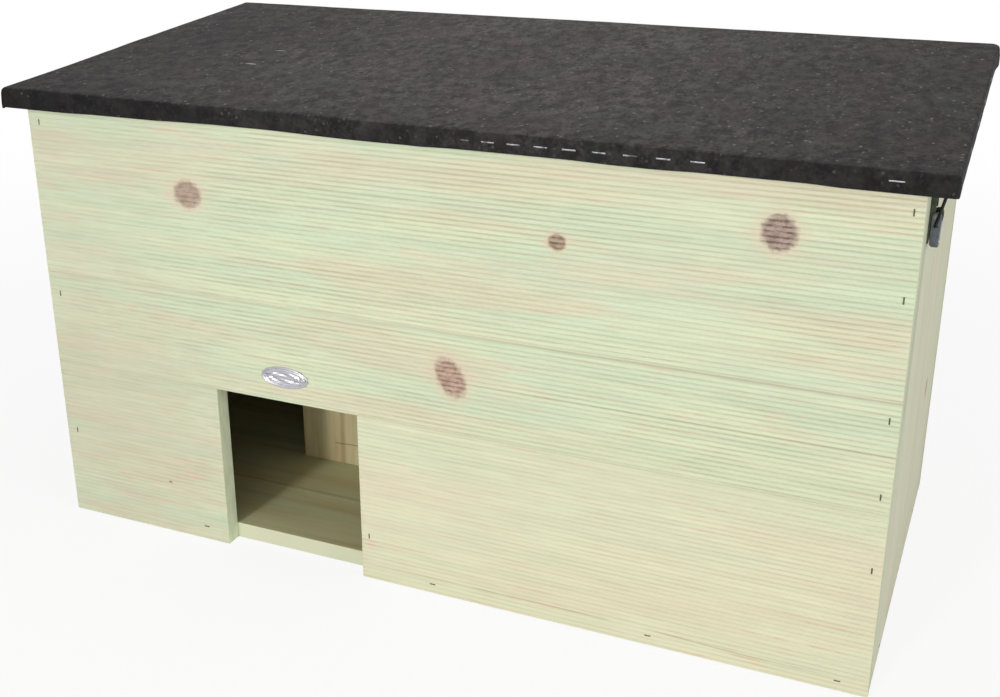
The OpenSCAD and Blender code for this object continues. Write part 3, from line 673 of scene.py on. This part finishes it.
# The wall staples' crowns are dark olive: painted shade, as if the crowns were sunk in the wood
shaded_staple_wire = make_metal("shaded_staple_wire", srgb(106, 105, 80), srgb(78, 76, 56), 0.6, 0.5, 0.75)
badge_silver = make_metal("badge_silver", srgb(190, 189, 194), srgb(148, 147, 153), 0.35, 0.2, 0.4)


# Shaping helpers
def share(value, start, end):
    """How far a value has come on its way from start to end, kept from 0 to 1."""
    return min(1.0, max(0.0, (value - start) / (end - start)))


def wavy(x, y, z):
    """A smooth and uneven wave, from about -1 to 1."""
    return noise.noise(Vector((x, y, z)))


def hump(distance, width):
    """A soft hump: 1 in its middle, and almost nothing at two widths from it."""
    return math.exp(-((distance / width) ** 2))


def merged(node):
    """A CAD node's mesh as a bmesh, its loose triangles merged into clean faces."""
    mesh = bmesh.new()
    mesh.from_mesh(frame["nodes"][node].data)
    bmesh.ops.remove_doubles(mesh, verts=mesh.verts, dist=0.002 * MM)
    bmesh.ops.dissolve_limit(
        mesh, angle_limit=math.radians(0.6), verts=mesh.verts, edges=mesh.edges)
    return mesh


def cut(mesh, point, normal):
    """Adds an edge loop where a plane crosses the mesh."""
    everything = mesh.verts[:] + mesh.edges[:] + mesh.faces[:]
    bmesh.ops.bisect_plane(mesh, geom=everything, dist=1e-7, plane_co=point, plane_no=normal)


def ease(mesh, edges, size, segments=2):
    """Rounds edges by size."""
    if edges:
        bmesh.ops.bevel(
            mesh, geom=edges, offset=size, offset_type="OFFSET", segments=segments, profile=0.5,
            affect="EDGES", clamp_overlap=True, material=-1)


def sharp_edges(mesh, angle=30.0):
    limit = math.radians(angle)
    return [e for e in mesh.edges if e.is_manifold and e.calc_face_angle(0.0) > limit]


def make_object(mesh, name, material):
    """An object in the scene, made of a bmesh."""
    data = bpy.data.meshes.new(name)
    mesh.to_mesh(data)
    mesh.free()
    data.materials.append(material)
    return place_in_scene(name, data)


def finish_piece(mesh, name, body, material, replaced, smooth_angle=None):
    """Makes a piece of a bmesh and hangs it on its body, in place of CAD nodes."""
    piece = make_object(mesh, name, material)
    if smooth_angle is not None:
        piece.data.shade_smooth()
        piece.data.set_sharp_from_angle(angle=math.radians(smooth_angle))
        even = piece.modifiers.new("even_shading", "WEIGHTED_NORMAL")
        even.keep_sharp = True
    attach(piece, body)
    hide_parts(*replaced)
    return piece


def islands(node):
    """The separate solids of a CAD node, each as a list of its points."""
    mesh = merged(node)
    mesh.verts.index_update()
    seen = set()
    groups = []
    for seed in mesh.verts:
        if seed.index in seen:
            continue
        seen.add(seed.index)
        group = [seed]
        for v in group:
            for e in v.link_edges:
                other = e.other_vert(v)
                if other.index not in seen:
                    seen.add(other.index)
                    group.append(other)
        groups.append([v.co.copy() for v in group])
    mesh.free()
    return groups


def corners(points):
    """The lowest and highest corners of the box round some points."""
    low = Vector([min(p[i] for p in points) for i in range(3)])
    high = Vector([max(p[i] for p in points) for i in range(3)])
    return low, high


def body_of(node):
    bodies = frame["record"]["behaviour"]["bodies"]
    return next(body for body, nodes in bodies.items() if node in nodes)


def joint_place(name):
    return Vector(next(j for j in frame["joints"] if j["name"] == name)["pos_m"])


# Front boards: ribs that waver and fade, and eased edges at the joints
def rib_strength(x, z):
    """How deep the grooves are at a place on the front, from 0 to 1."""
    from_left = share(x, -0.29, -0.1)
    if z < COURSE_1:
        deep = 0.28 + 0.3 * max(0.0, x) / 0.3
    elif z < COURSE_2:
        deep = 0.35 + 0.65 * from_left
    else:
        deep = 0.35 + 0.5 * from_left
    return max(0.1, min(1.0, deep * (1.0 + 0.7 * wavy(x * 8.0, 3.3, z * 18.0))))


def make_front_board(node):
    slice_width = 9 * MM
    chamfer = 0.25 * MM
    top_inset = 1.6 * MM
    waver = 0.22 * MM
    mesh = merged(node)
    low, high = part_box(node)
    has_tongue = node != "front_top_board"
    top = high.z - (TONGUE if has_tongue else 0.0)
    # Slices across the board let its ribs waver
    count = int((high.x - low.x) / slice_width)
    for i in range(1, count):
        cut(mesh, (low.x + (high.x - low.x) * i / count, 0, 0), (1, 0, 0))
    for x in (low.x + chamfer, high.x - chamfer):
        cut(mesh, (x, 0, 0), (1, 0, 0))
    for z in (low.z + chamfer, top - (chamfer if has_tongue else top_inset)):
        cut(mesh, (0, 0, z), (0, 0, 1))
    for v in mesh.verts:
        depth = v.co.y - FRONT_Y
        if depth > RIB_DEPTH * 1.1:
            continue
        x, z = v.co.x, v.co.z
        at_end = min(x - low.x, high.x - x) < CLOSE
        at_level = z - low.z < CLOSE or (has_tongue and top - z < CLOSE)
        if depth > RIB_DEPTH * 0.5:
            strip = STRIP_TOP - STRIP_FALL * share(x, STRIP_FALL_FROM, STRIP_FALL_TO)
            plain = x > 0.05 and z < strip
            v.co.y = FRONT_Y + (0.0 if plain else RIB_DEPTH * rib_strength(x, z))
        if min(z - low.z, top - z) > 1.0 * MM:
            v.co.z += waver * wavy(x * 9.0, 1.7, z * 60.0)
        if at_end or at_level:
            v.co.y += chamfer
    return finish_piece(mesh, node.replace("_board", "_ribs"), body_of(node),
                        ribbed_pine, [node])


for board in ("top", "middle", "lower_left", "lower_right"):
    make_front_board(f"front_{board}_board")


# Smooth boards: copies with eased long edges
def make_smooth_board(node, axis, material, size=0.6 * MM):
    mesh = merged(node)
    low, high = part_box(node)
    faces = (low[axis], high[axis])

    def on_face(vertex):
        return min(abs(vertex.co[axis] - f) for f in faces) < CLOSE

    edges = [e for e in sharp_edges(mesh, 40.0) if all(on_face(v) for v in e.verts)
             and abs(e.verts[0].co[axis] - e.verts[1].co[axis]) < CLOSE]
    ease(mesh, edges, size)
    return finish_piece(mesh, node + "_eased", body_of(node), material, [node])


for wall in ("left", "right"):
    for place in ("front", "middle", "rear"):
        make_smooth_board(f"{wall}_wall_{place}_board", 0, side_pine)
for place in ("top", "middle", "lower"):
    make_smooth_board(f"back_{place}_board", 1, back_pine)
for place in ("front", "middle", "rear"):
    make_smooth_board(f"floor_{place}_board", 2, floor_pine, 0.3 * MM)
make_smooth_board("partition_cross_board", 1, inner_pine)
make_smooth_board("partition_side_board", 0, inner_pine)


# The latch lever leans in towards its foot, its flanges reach down to the lip, and the foot is flat.
# All sizes are in mm from the lever's pivot.
def taper_lever(mesh, side):
    web_face = 0.3
    flange_inside = 4.2
    foot = 16.5
    lip = 16.6
    pivot = joint_place(f"{side}_lever_hinge")
    outward = 1.0 if side == "right" else -1.0
    for v in mesh.verts:
        out = (v.co.x - pivot.x) * outward / MM
        down = (pivot.z - v.co.z) / MM
        beside = abs(v.co.y - pivot.y) / MM
        if out > web_face:
            swell = 0.5 * share(down, 3.0, 5.0)
            lean = 1.5 * share(down, 5.0, foot)
            v.co.x += outward * (swell - lean) * MM
        if beside > flange_inside:
            v.co.z -= 2.9 * min(share(down, 11.0, 12.8), share(down, foot, 14.0)) * MM
        if out > web_face and down > lip:
            v.co.z += 0.5 * (down - lip) * MM


# Metal pieces: copies of the CAD solids with small rounded edges
def make_eased_metal(node, material, size, angle=35.0):
    mesh = merged(node)
    if node.endswith("latch_lever"):
        taper_lever(mesh, node.split("_")[0])
    ease(mesh, sharp_edges(mesh, angle), size)
    return finish_piece(mesh, node + "_eased", body_of(node), material, [node], 40.0)


for side in ("left", "right"):
    for part, metal in (("hinge_wall_leaf", zinc), ("hinge_lid_leaf", zinc), ("latch_keeper", zinc),
                        ("latch_base", green_zinc), ("latch_lever", slate_zinc)):
        make_eased_metal(f"{side}_{part}", metal, 0.16 * MM)
    for part in ("hinge_pin", "latch_rivet"):
        make_eased_metal(f"{side}_{part}", screw_steel, 0.15 * MM)
    make_eased_metal(f"{side}_latch_bail", dark_steel, 0.1 * MM, 60.0)
for wall in ("front_wall", "back_wall", "side_wall", "partition"):
    make_eased_metal(f"{wall}_staples", shaded_staple_wire, 0.25 * MM)
make_eased_metal("felt_staples", bright_wire, 0.25 * MM)


# Lid: the board under the felt, in the lid's own sloping frame
LID_SLOPE = math.radians(4.85)
LID_FRAME = Matrix.Translation(joint_place("lid_hinge")) @ Matrix.Rotation(LID_SLOPE, 4, "X")


def make_lid_board():
    mesh = merged("lid_board")
    upright = [e for e in sharp_edges(mesh) if abs(e.verts[0].co.x - e.verts[1].co.x) < CLOSE
               and abs(e.verts[0].co.y - e.verts[1].co.y) < 2 * MM]
    ease(mesh, upright, 4 * MM, 3)
    ease(mesh, sharp_edges(mesh), 0.8 * MM)
    return finish_piece(mesh, "lid_board_eased", "lid", lid_pine, ["lid_board"])


make_lid_board()

# Felt sizes: the outer faces are the CAD model's. S is how far back a place is along the lid's
# slope from the axis of its hinges, and LEVEL_DEPTH is the lid's depth as seen from above.
FELT_T = 1.9 * MM
FOLD_R = 3.0 * MM
FELT_DROP = 12 * MM
FELT_TOP = 12.15 * MM
LEVEL_DEPTH = 304 * MM
LID_DEPTH = LEVEL_DEPTH / math.cos(LID_SLOPE)
BACK_S = -2.9 * MM
MID_S = BACK_S - LID_DEPTH / 2
lid_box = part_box("lid_board")
HALF_W = (lid_box[1].x - lid_box[0].x) / 2 + 2 * MM
HALF_D = LID_DEPTH / 2
ARC = FOLD_R * math.pi / 2
CUT_W = HALF_W - FOLD_R + ARC + FELT_DROP - FOLD_R
CUT_D = HALF_D - FOLD_R + ARC + FELT_DROP - FOLD_R
# Where the flat felt is cut into strips, in mm past the start of a fold
FOLD_CUTS = (-5, -2.5, 0, 0.8, 1.6, 2.4, 3.2, 4.0, 4.71, 7.5, 10)
# How round the fold is on each side, and by how much that changes along it, in mm
FOLD_ROUNDNESS = {"left": (2.0, 0.5), "right": (2.8, 0.8), "front": (3.0, 1.3), "back": (2.6, 0.6)}
# How far the front flap hangs below the lid's underside: (x, depth), in mm
FRONT_RIM = (
    (-316, 3.0), (-312, 1.9), (-293, 1.9), (-267, 1.9), (-241, 1.2), (-192, 1.0), (-168, 0.3),
    (-144, -0.2), (-99, -0.2), (-55, 0.7), (7, 0.7), (27, 0.0), (103, -0.1), (125, 0.5), (157, 0.5),
    (174, 0.0), (240, -0.1), (255, 0.6), (304, 0.6), (316, 0.4),
)
FELT_STAPLES = [(low + high) / 2 for low, high in (corners(g) for g in islands("felt_staples"))]
# How far a staple draws the felt in around it
STAPLE_REACH = 9 * MM
# The right flap bulges near its back corner, at this distance before it and over this reach
BULGE_HEIGHT = 1.3 * MM
BULGE_PLACE = 17 * MM
BULGE_REACH = 9 * MM
# The left flap flares at its front corner, over this width of the lid and this length of the flap
FLARE_WIDTH = 20 * MM
FLARE_LENGTH = 45 * MM


def along(table, x):
    """A value read off a table of (place, value) pairs, straight between them."""
    for (x0, a), (x1, b) in zip(table, table[1:]):
        if x <= x1:
            return a + (b - a) * share(x, x0, x1)
    return table[-1][1]


def fold(distance, half, radius, rim):
    """Where a point of the flat felt lies once its edge is folded: outward place and drop."""
    size = abs(distance)
    sign = 1.0 if distance >= 0 else -1.0
    flat = half - FOLD_R
    if size <= flat:
        return sign * (size - share(size, flat - 5 * MM, flat) * (radius - FOLD_R)), 0.0
    if size <= flat + ARC:
        angle = (size - flat) / FOLD_R
        return sign * (half - radius + radius * math.sin(angle)), radius * (1 - math.cos(angle))
    hanging = (size - flat - ARC) / (FELT_DROP - FOLD_R)
    return sign * half, radius + hanging * (rim - radius)


def round_corner(x, s, radius):
    """Moves a point near a corner of the lid inward, so that the corner is round in plan."""
    dx = abs(x) - (HALF_W - radius)
    ds = abs(s) - (HALF_D - radius)
    if dx <= 0 or ds <= 0:
        return x, s
    shrink = max(dx, ds) / math.hypot(dx, ds)
    return (math.copysign(HALF_W - radius + dx * shrink, x),
            math.copysign(HALF_D - radius + ds * shrink, s))


def fold_radius(place, side):
    base, change = FOLD_ROUNDNESS[side]
    return (base + change * wavy(place * 9.0, len(side), 0.7)) * MM


def rims(u, w):
    """How far the flaps hang at a point of the flat felt: the end flap and the long one."""
    end_rim = FELT_DROP + (wavy(w * 14.0, 2.0, u) * 0.7 - 0.2) * MM
    if w < 0:
        return end_rim, FELT_DROP + along(FRONT_RIM, u / MM) * MM
    return end_rim, FELT_DROP + (wavy(u * 12.0, 6.0, 1.0) - 0.4) * MM


def felt_point(u, w):
    """Where a point of the flat felt lies on the lid, in the lid's frame."""
    end_rim, long_rim = rims(u, w)
    x, drop_x = fold(u, HALF_W, fold_radius(w, "right" if u > 0 else "left"), end_rim)
    s, drop_s = fold(w, HALF_D, fold_radius(u, "back" if w > 0 else "front"), long_rim)
    drop = min(max(long_rim, end_rim) if w < 0 else FELT_DROP, drop_x + drop_s)
    # The felt is drawn in where it is stapled, and swells between
    flat_place = LID_FRAME @ Vector((x, MID_S + s, FELT_TOP - drop))
    free = 1.0 - hump(min((flat_place - c).length for c in FELT_STAPLES), STAPLE_REACH)
    on_top = max(0.0, 1.0 - drop / FOLD_R)
    waves = 0.45 * wavy(u * 11.0, w * 11.0, 0.4) + 0.15 * wavy(u * 60.0, w * 60.0, 2.9)
    level = FELT_TOP - drop + on_top * free * waves * MM
    swell = ((0.55 * wavy(x * 24.0, s * 24.0, 5.0) + 0.1) * free - 0.12 * (1 - free)) * MM
    folded = 0.2 * MM
    bulge = BULGE_HEIGHT * hump(w - HALF_D + BULGE_PLACE, BULGE_REACH) if u > 0 else 0.0
    if drop_x > folded:
        x += math.copysign(swell + bulge * min(1.0, drop / (5 * MM)), x)
    if drop_s > folded:
        s += math.copysign(swell, s)
    flare = max(0.0, -x - HALF_W + FLARE_WIDTH) / FLARE_WIDTH
    flare *= hump(max(0.0, w + HALF_D), FLARE_LENGTH)
    x -= flare ** 2 * (1.3 + 1.7 * min(1.0, drop / FELT_DROP)) * MM
    # The back corner on the right is rounder than the others
    x, s = round_corner(x, s, (6.0 if u > 0 and w > 0 else 1.6) * MM)
    return Vector((x, MID_S + s, level))


def make_felt_piece():
    mesh = bmesh.new()
    bmesh.ops.create_grid(mesh, x_segments=110, y_segments=54, size=1.0)
    bmesh.ops.scale(mesh, vec=(CUT_W, CUT_D, 1.0), verts=mesh.verts)
    for half, axis in ((HALF_W, 0), (HALF_D, 1)):
        for offset in FOLD_CUTS:
            for sign in (-1, 1):
                point = [0.0, 0.0, 0.0]
                point[axis] = sign * (half - FOLD_R + offset * MM)
                cut(mesh, point, [float(axis == 0), float(axis == 1), 0.0])
    # The corners are notched, so that the flaps meet edge to edge
    corner = [f for f in mesh.faces
              if abs(f.calc_center_median().x) > HALF_W - FOLD_R + ARC
              and abs(f.calc_center_median().y) > HALF_D - FOLD_R + ARC]
    bmesh.ops.delete(mesh, geom=corner, context="FACES")
    for v in mesh.verts:
        v.co = felt_point(v.co.x, v.co.y)
    mesh.transform(LID_FRAME)
    if max(mesh.faces, key=lambda f: f.calc_area()).normal.z < 0:
        bmesh.ops.reverse_faces(mesh, faces=mesh.faces)
    piece = finish_piece(mesh, "felt_cover", "lid", felt_material, ["roofing_felt"], 60.0)
    thick = piece.modifiers.new("thickness", "SOLIDIFY")
    thick.thickness = FELT_T
    thick.offset = -1.0
    return piece


felt_cover = make_felt_piece()


# Turned pieces: a grid rolled up round an axis and closed at both poles
def rolled(mesh, rings, segments, place):
    """Adds a closed round shape. rings is a count, and place(angle, ring) gives each point."""
    before = set(mesh.verts)
    made = bmesh.ops.create_grid(mesh, x_segments=segments, y_segments=rings - 1, size=1.0)["verts"]
    for v in made:
        v.co = place(math.pi * (v.co.x + 1), round((v.co.y + 1) / 2 * (rings - 1)))
    bmesh.ops.remove_doubles(mesh, verts=made, dist=0.001 * MM)
    return [v for v in mesh.verts if v not in before]


def cross_outline(angle, reach):
    """The radius of a cross recess at an angle, with arms that end at 15 degrees each side."""
    half = reach * math.tan(math.radians(15))
    c = max(abs(math.cos(angle)), 1e-6)
    s = max(abs(math.sin(angle)), 1e-6)
    return max(min(reach / c, half / s), min(half / c, reach / s))


def screw_profile(radius, shank, foot, top, countersunk):
    """A screw's outline from its foot to the edge of its recess: (radius, height)."""
    head = 1.2 * MM
    stem = [(0, foot), (shank, foot), (shank, top - head)]
    if countersunk:
        return stem + [(radius * 0.97, top - 0.12 * MM), (radius, top - 0.03 * MM), (radius * 0.9, top)]
    return stem + [(radius, top - head), (radius, top - head * 0.62),
                   (radius * 0.9, top - head * 0.25), (radius * 0.68, top)]


def make_screws(node, outward, countersunk):
    """Screws with a cross recess, each in the place and size of its CAD solid."""
    mesh = bmesh.new()
    for group in islands(node):
        axis = outward(group).normalized()
        heights = [p.dot(axis) for p in group]
        top, foot = max(heights), min(heights)
        middle = sum(group, Vector()) / len(group)
        middle -= axis * middle.dot(axis)
        from_axis = [(p - axis * p.dot(axis) - middle).length for p in group]
        radius = max(from_axis)
        shank = min(distance for distance in from_axis if distance > 0.2 * MM)
        profile = screw_profile(radius, shank, foot, top, countersunk)
        recess = len(profile)
        profile += [(0, top), (0, top - 0.55 * MM), (0, top - 0.7 * MM)]
        crosses = {recess: radius * 0.56, recess + 1: radius * 0.56 * 0.8}

        def place(angle, ring):
            r, h = profile[ring]
            if ring in crosses:
                r = cross_outline(angle, crosses[ring])
            return Vector((r * math.cos(angle), r * math.sin(angle), h))

        made = rolled(mesh, len(profile), 24, place)
        turn = Vector((0, 0, 1)).rotation_difference(axis).to_matrix().to_4x4()
        # No two recesses are turned alike
        spin = Matrix.Rotation(top * 37000 % 1.4, 4, "Z")
        bmesh.ops.transform(mesh, matrix=Matrix.Translation(middle) @ turn @ spin, verts=made)
    return finish_piece(mesh, node + "_turned", body_of(node), screw_steel, [node], 35.0)


lid_out = LID_FRAME.to_3x3()
make_screws("hinge_wall_screws", lambda g: Vector((0, 1, 0)), True)
make_screws("hinge_lid_screws", lambda g: lid_out @ Vector((0, 1, 0)), True)
make_screws("latch_screws", lambda g: Vector((math.copysign(1, g[0].x), 0, 0)), False)
make_screws("keeper_screws", lambda g: lid_out @ Vector((0, 0, -1)), False)


# Badge: an oval with a beaded rim and a plain rippled field
def make_badge():
    low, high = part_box("badge")
    middle = (low + high) / 2
    half_w, half_h = (high.x - low.x) / 2, (high.z - low.z) / 2
    # Rings: inset from the edge and height above the board, in mm
    profile = [(half_h / MM, 0.0), (0.0, 0.0), (0.0, 0.5), (0.15, 0.85), (0.5, 1.12), (0.9, 1.2),
               (1.25, 1.05), (1.5, 0.7), (1.8, 0.5), (2.1, 0.5), (2.3, 0.66), (2.6, 0.7), (2.85, 0.55)]
    beads = 5
    field = len(profile)
    profile += [(2.85 + 0.42 * i, 0.5) for i in range(1, 12)]
    profile += [(half_h / MM, 0.55)]
    last = len(profile) - 1

    def place(angle, ring):
        inset, height = profile[ring]
        if ring in (0, last):
            return Vector((middle.x, high.y - height * MM, middle.z))
        if ring == beads:
            height += 0.04 * math.sin(60 * angle)
        if ring >= field:
            depth = (ring - field) / (last - field)
            swirl = math.sin(5 * angle + 6.0 * depth) * math.sin(math.pi * min(1.0, depth * 1.15))
            height += 0.5 * swirl + 0.1 * math.sin(10 * angle - 9.0 * depth)
        return Vector((middle.x + (half_w - inset * MM) * math.cos(angle), high.y - height * MM,
                       middle.z + (half_h - inset * MM) * math.sin(angle)))

    mesh = bmesh.new()
    rolled(mesh, len(profile), 120, place)
    bmesh.ops.recalc_face_normals(mesh, faces=mesh.faces)
    return finish_piece(mesh, "badge_oval", body_of("badge"), badge_silver, ["badge"], 50.0)


def make_badge_pins():
    """The two round-headed pins that hold the badge."""
    mesh = bmesh.new()
    for group in islands("badge_pins"):
        low, high = corners(group)
        middle = (low + high) / 2
        radius = (high.x - low.x) / 2
        # Rings from the shank to the head's top: share of the head's radius, and mm behind its top
        profile = [(0.55, 0.6), (1, 0.45), (1, 0.3), (0.8, 0.1), (0.45, 0.02), (0, 0)]
        rings = [(0, high.y), (0.55 * radius, high.y)]
        rings += [(r * radius, low.y + behind * MM) for r, behind in profile]
        rolled(mesh, len(rings), 20, lambda angle, k: Vector((
            middle.x + rings[k][0] * math.cos(angle), rings[k][1],
            middle.z + rings[k][0] * math.sin(angle))))
    bmesh.ops.recalc_face_normals(mesh, faces=mesh.faces)
    return finish_piece(mesh, "badge_rivets", body_of("badge_pins"), badge_silver,
                        ["badge_pins"], 50.0)


make_badge()
make_badge_pins()


# The pale floor and the backdrop: white to the camera, lit by soft lamps
def seen_rays(tree):
    """1 for the rays that the camera sees, straight or in metal and glass."""
    paths = add(tree, "LightPath").outputs
    return calc(tree, "MAXIMUM", paths["Is Camera Ray"],
                calc(tree, "MAXIMUM", paths["Is Glossy Ray"], paths["Is Transmission Ray"]))


def make_floor():
    material, tree, shader = new_material("pale_floor")
    shader.inputs["Base Color"].default_value = (0.86, 0.86, 0.86, 1.0)
    shader.inputs["Roughness"].default_value = 0.9
    white = add(tree, "Emission", {"Color": (1.0, 1.0, 1.0, 1.0), "Strength": 1.0}).outputs[0]
    away = vector_calc(tree, "LENGTH", object_place(tree))
    whiteness = times(tree, seen_rays(tree), remap(tree, away, 0.35, 1.6, 0.86, 1.0))
    mix = add(tree, "MixShader", {0: whiteness, 1: shader.outputs[0], 2: white})
    put(tree, tree.nodes["Material Output"].inputs["Surface"], mix.outputs[0])
    mesh = bmesh.new()
    bmesh.ops.create_circle(mesh, cap_ends=True, segments=64, radius=6.0)
    bmesh.ops.translate(mesh, vec=(0, 0, -0.2 * MM), verts=mesh.verts)
    make_object(mesh, "floor", material)


def make_lamp(name, place, target, size, power):
    data = bpy.data.lights.new(name, "AREA")
    data.shape = "RECTANGLE"
    data.size, data.size_y = size
    data.energy = power
    lamp = place_in_scene(name, data)
    lamp.location = place
    lamp.rotation_euler = (Vector(target) - Vector(place)).to_track_quat("-Z", "Y").to_euler()


def make_world():
    world = bpy.data.worlds.new("studio")
    world.use_nodes = True
    tree = world.node_tree
    tree.nodes.clear()
    soft = add(tree, "Background", {"Color": (1.0, 1.0, 1.0, 1.0), "Strength": 0.22}).outputs[0]
    white = add(tree, "Background", {"Color": (1.0, 1.0, 1.0, 1.0), "Strength": 1.0}).outputs[0]
    mix = add(tree, "MixShader", {0: seen_rays(tree), 1: soft, 2: white})
    out = tree.nodes.new("ShaderNodeOutputWorld")
    tree.links.new(mix.outputs[0], out.inputs["Surface"])
    bpy.context.scene.world = world


make_floor()
make_world()
make_lamp("key_lamp", (-0.4, -2.58, 1.05), (-0.1, 0.0, 0.15), (0.3, 0.3), 25.0)
make_lamp("front_softbox", (0.5, -2.3, 1.3), (0.0, 0.0, 0.18), (3.4, 2.2), 16.0)
make_lamp("top_softbox", (0.0, 0.1, 2.3), (0.0, 0.0, 0.3), (2.0, 1.6), 12.0)
make_lamp("right_fill", (2.4, -0.6, 0.9), (0.2, 0.0, 0.15), (1.2, 1.2), 17.5)
make_lamp("back_softbox", (-1.2, 2.4, 1.1), (0.0, 0.1, 0.15), (2.4, 1.6), 10.0)

bpy.context.scene.view_settings.view_transform = "Standard"
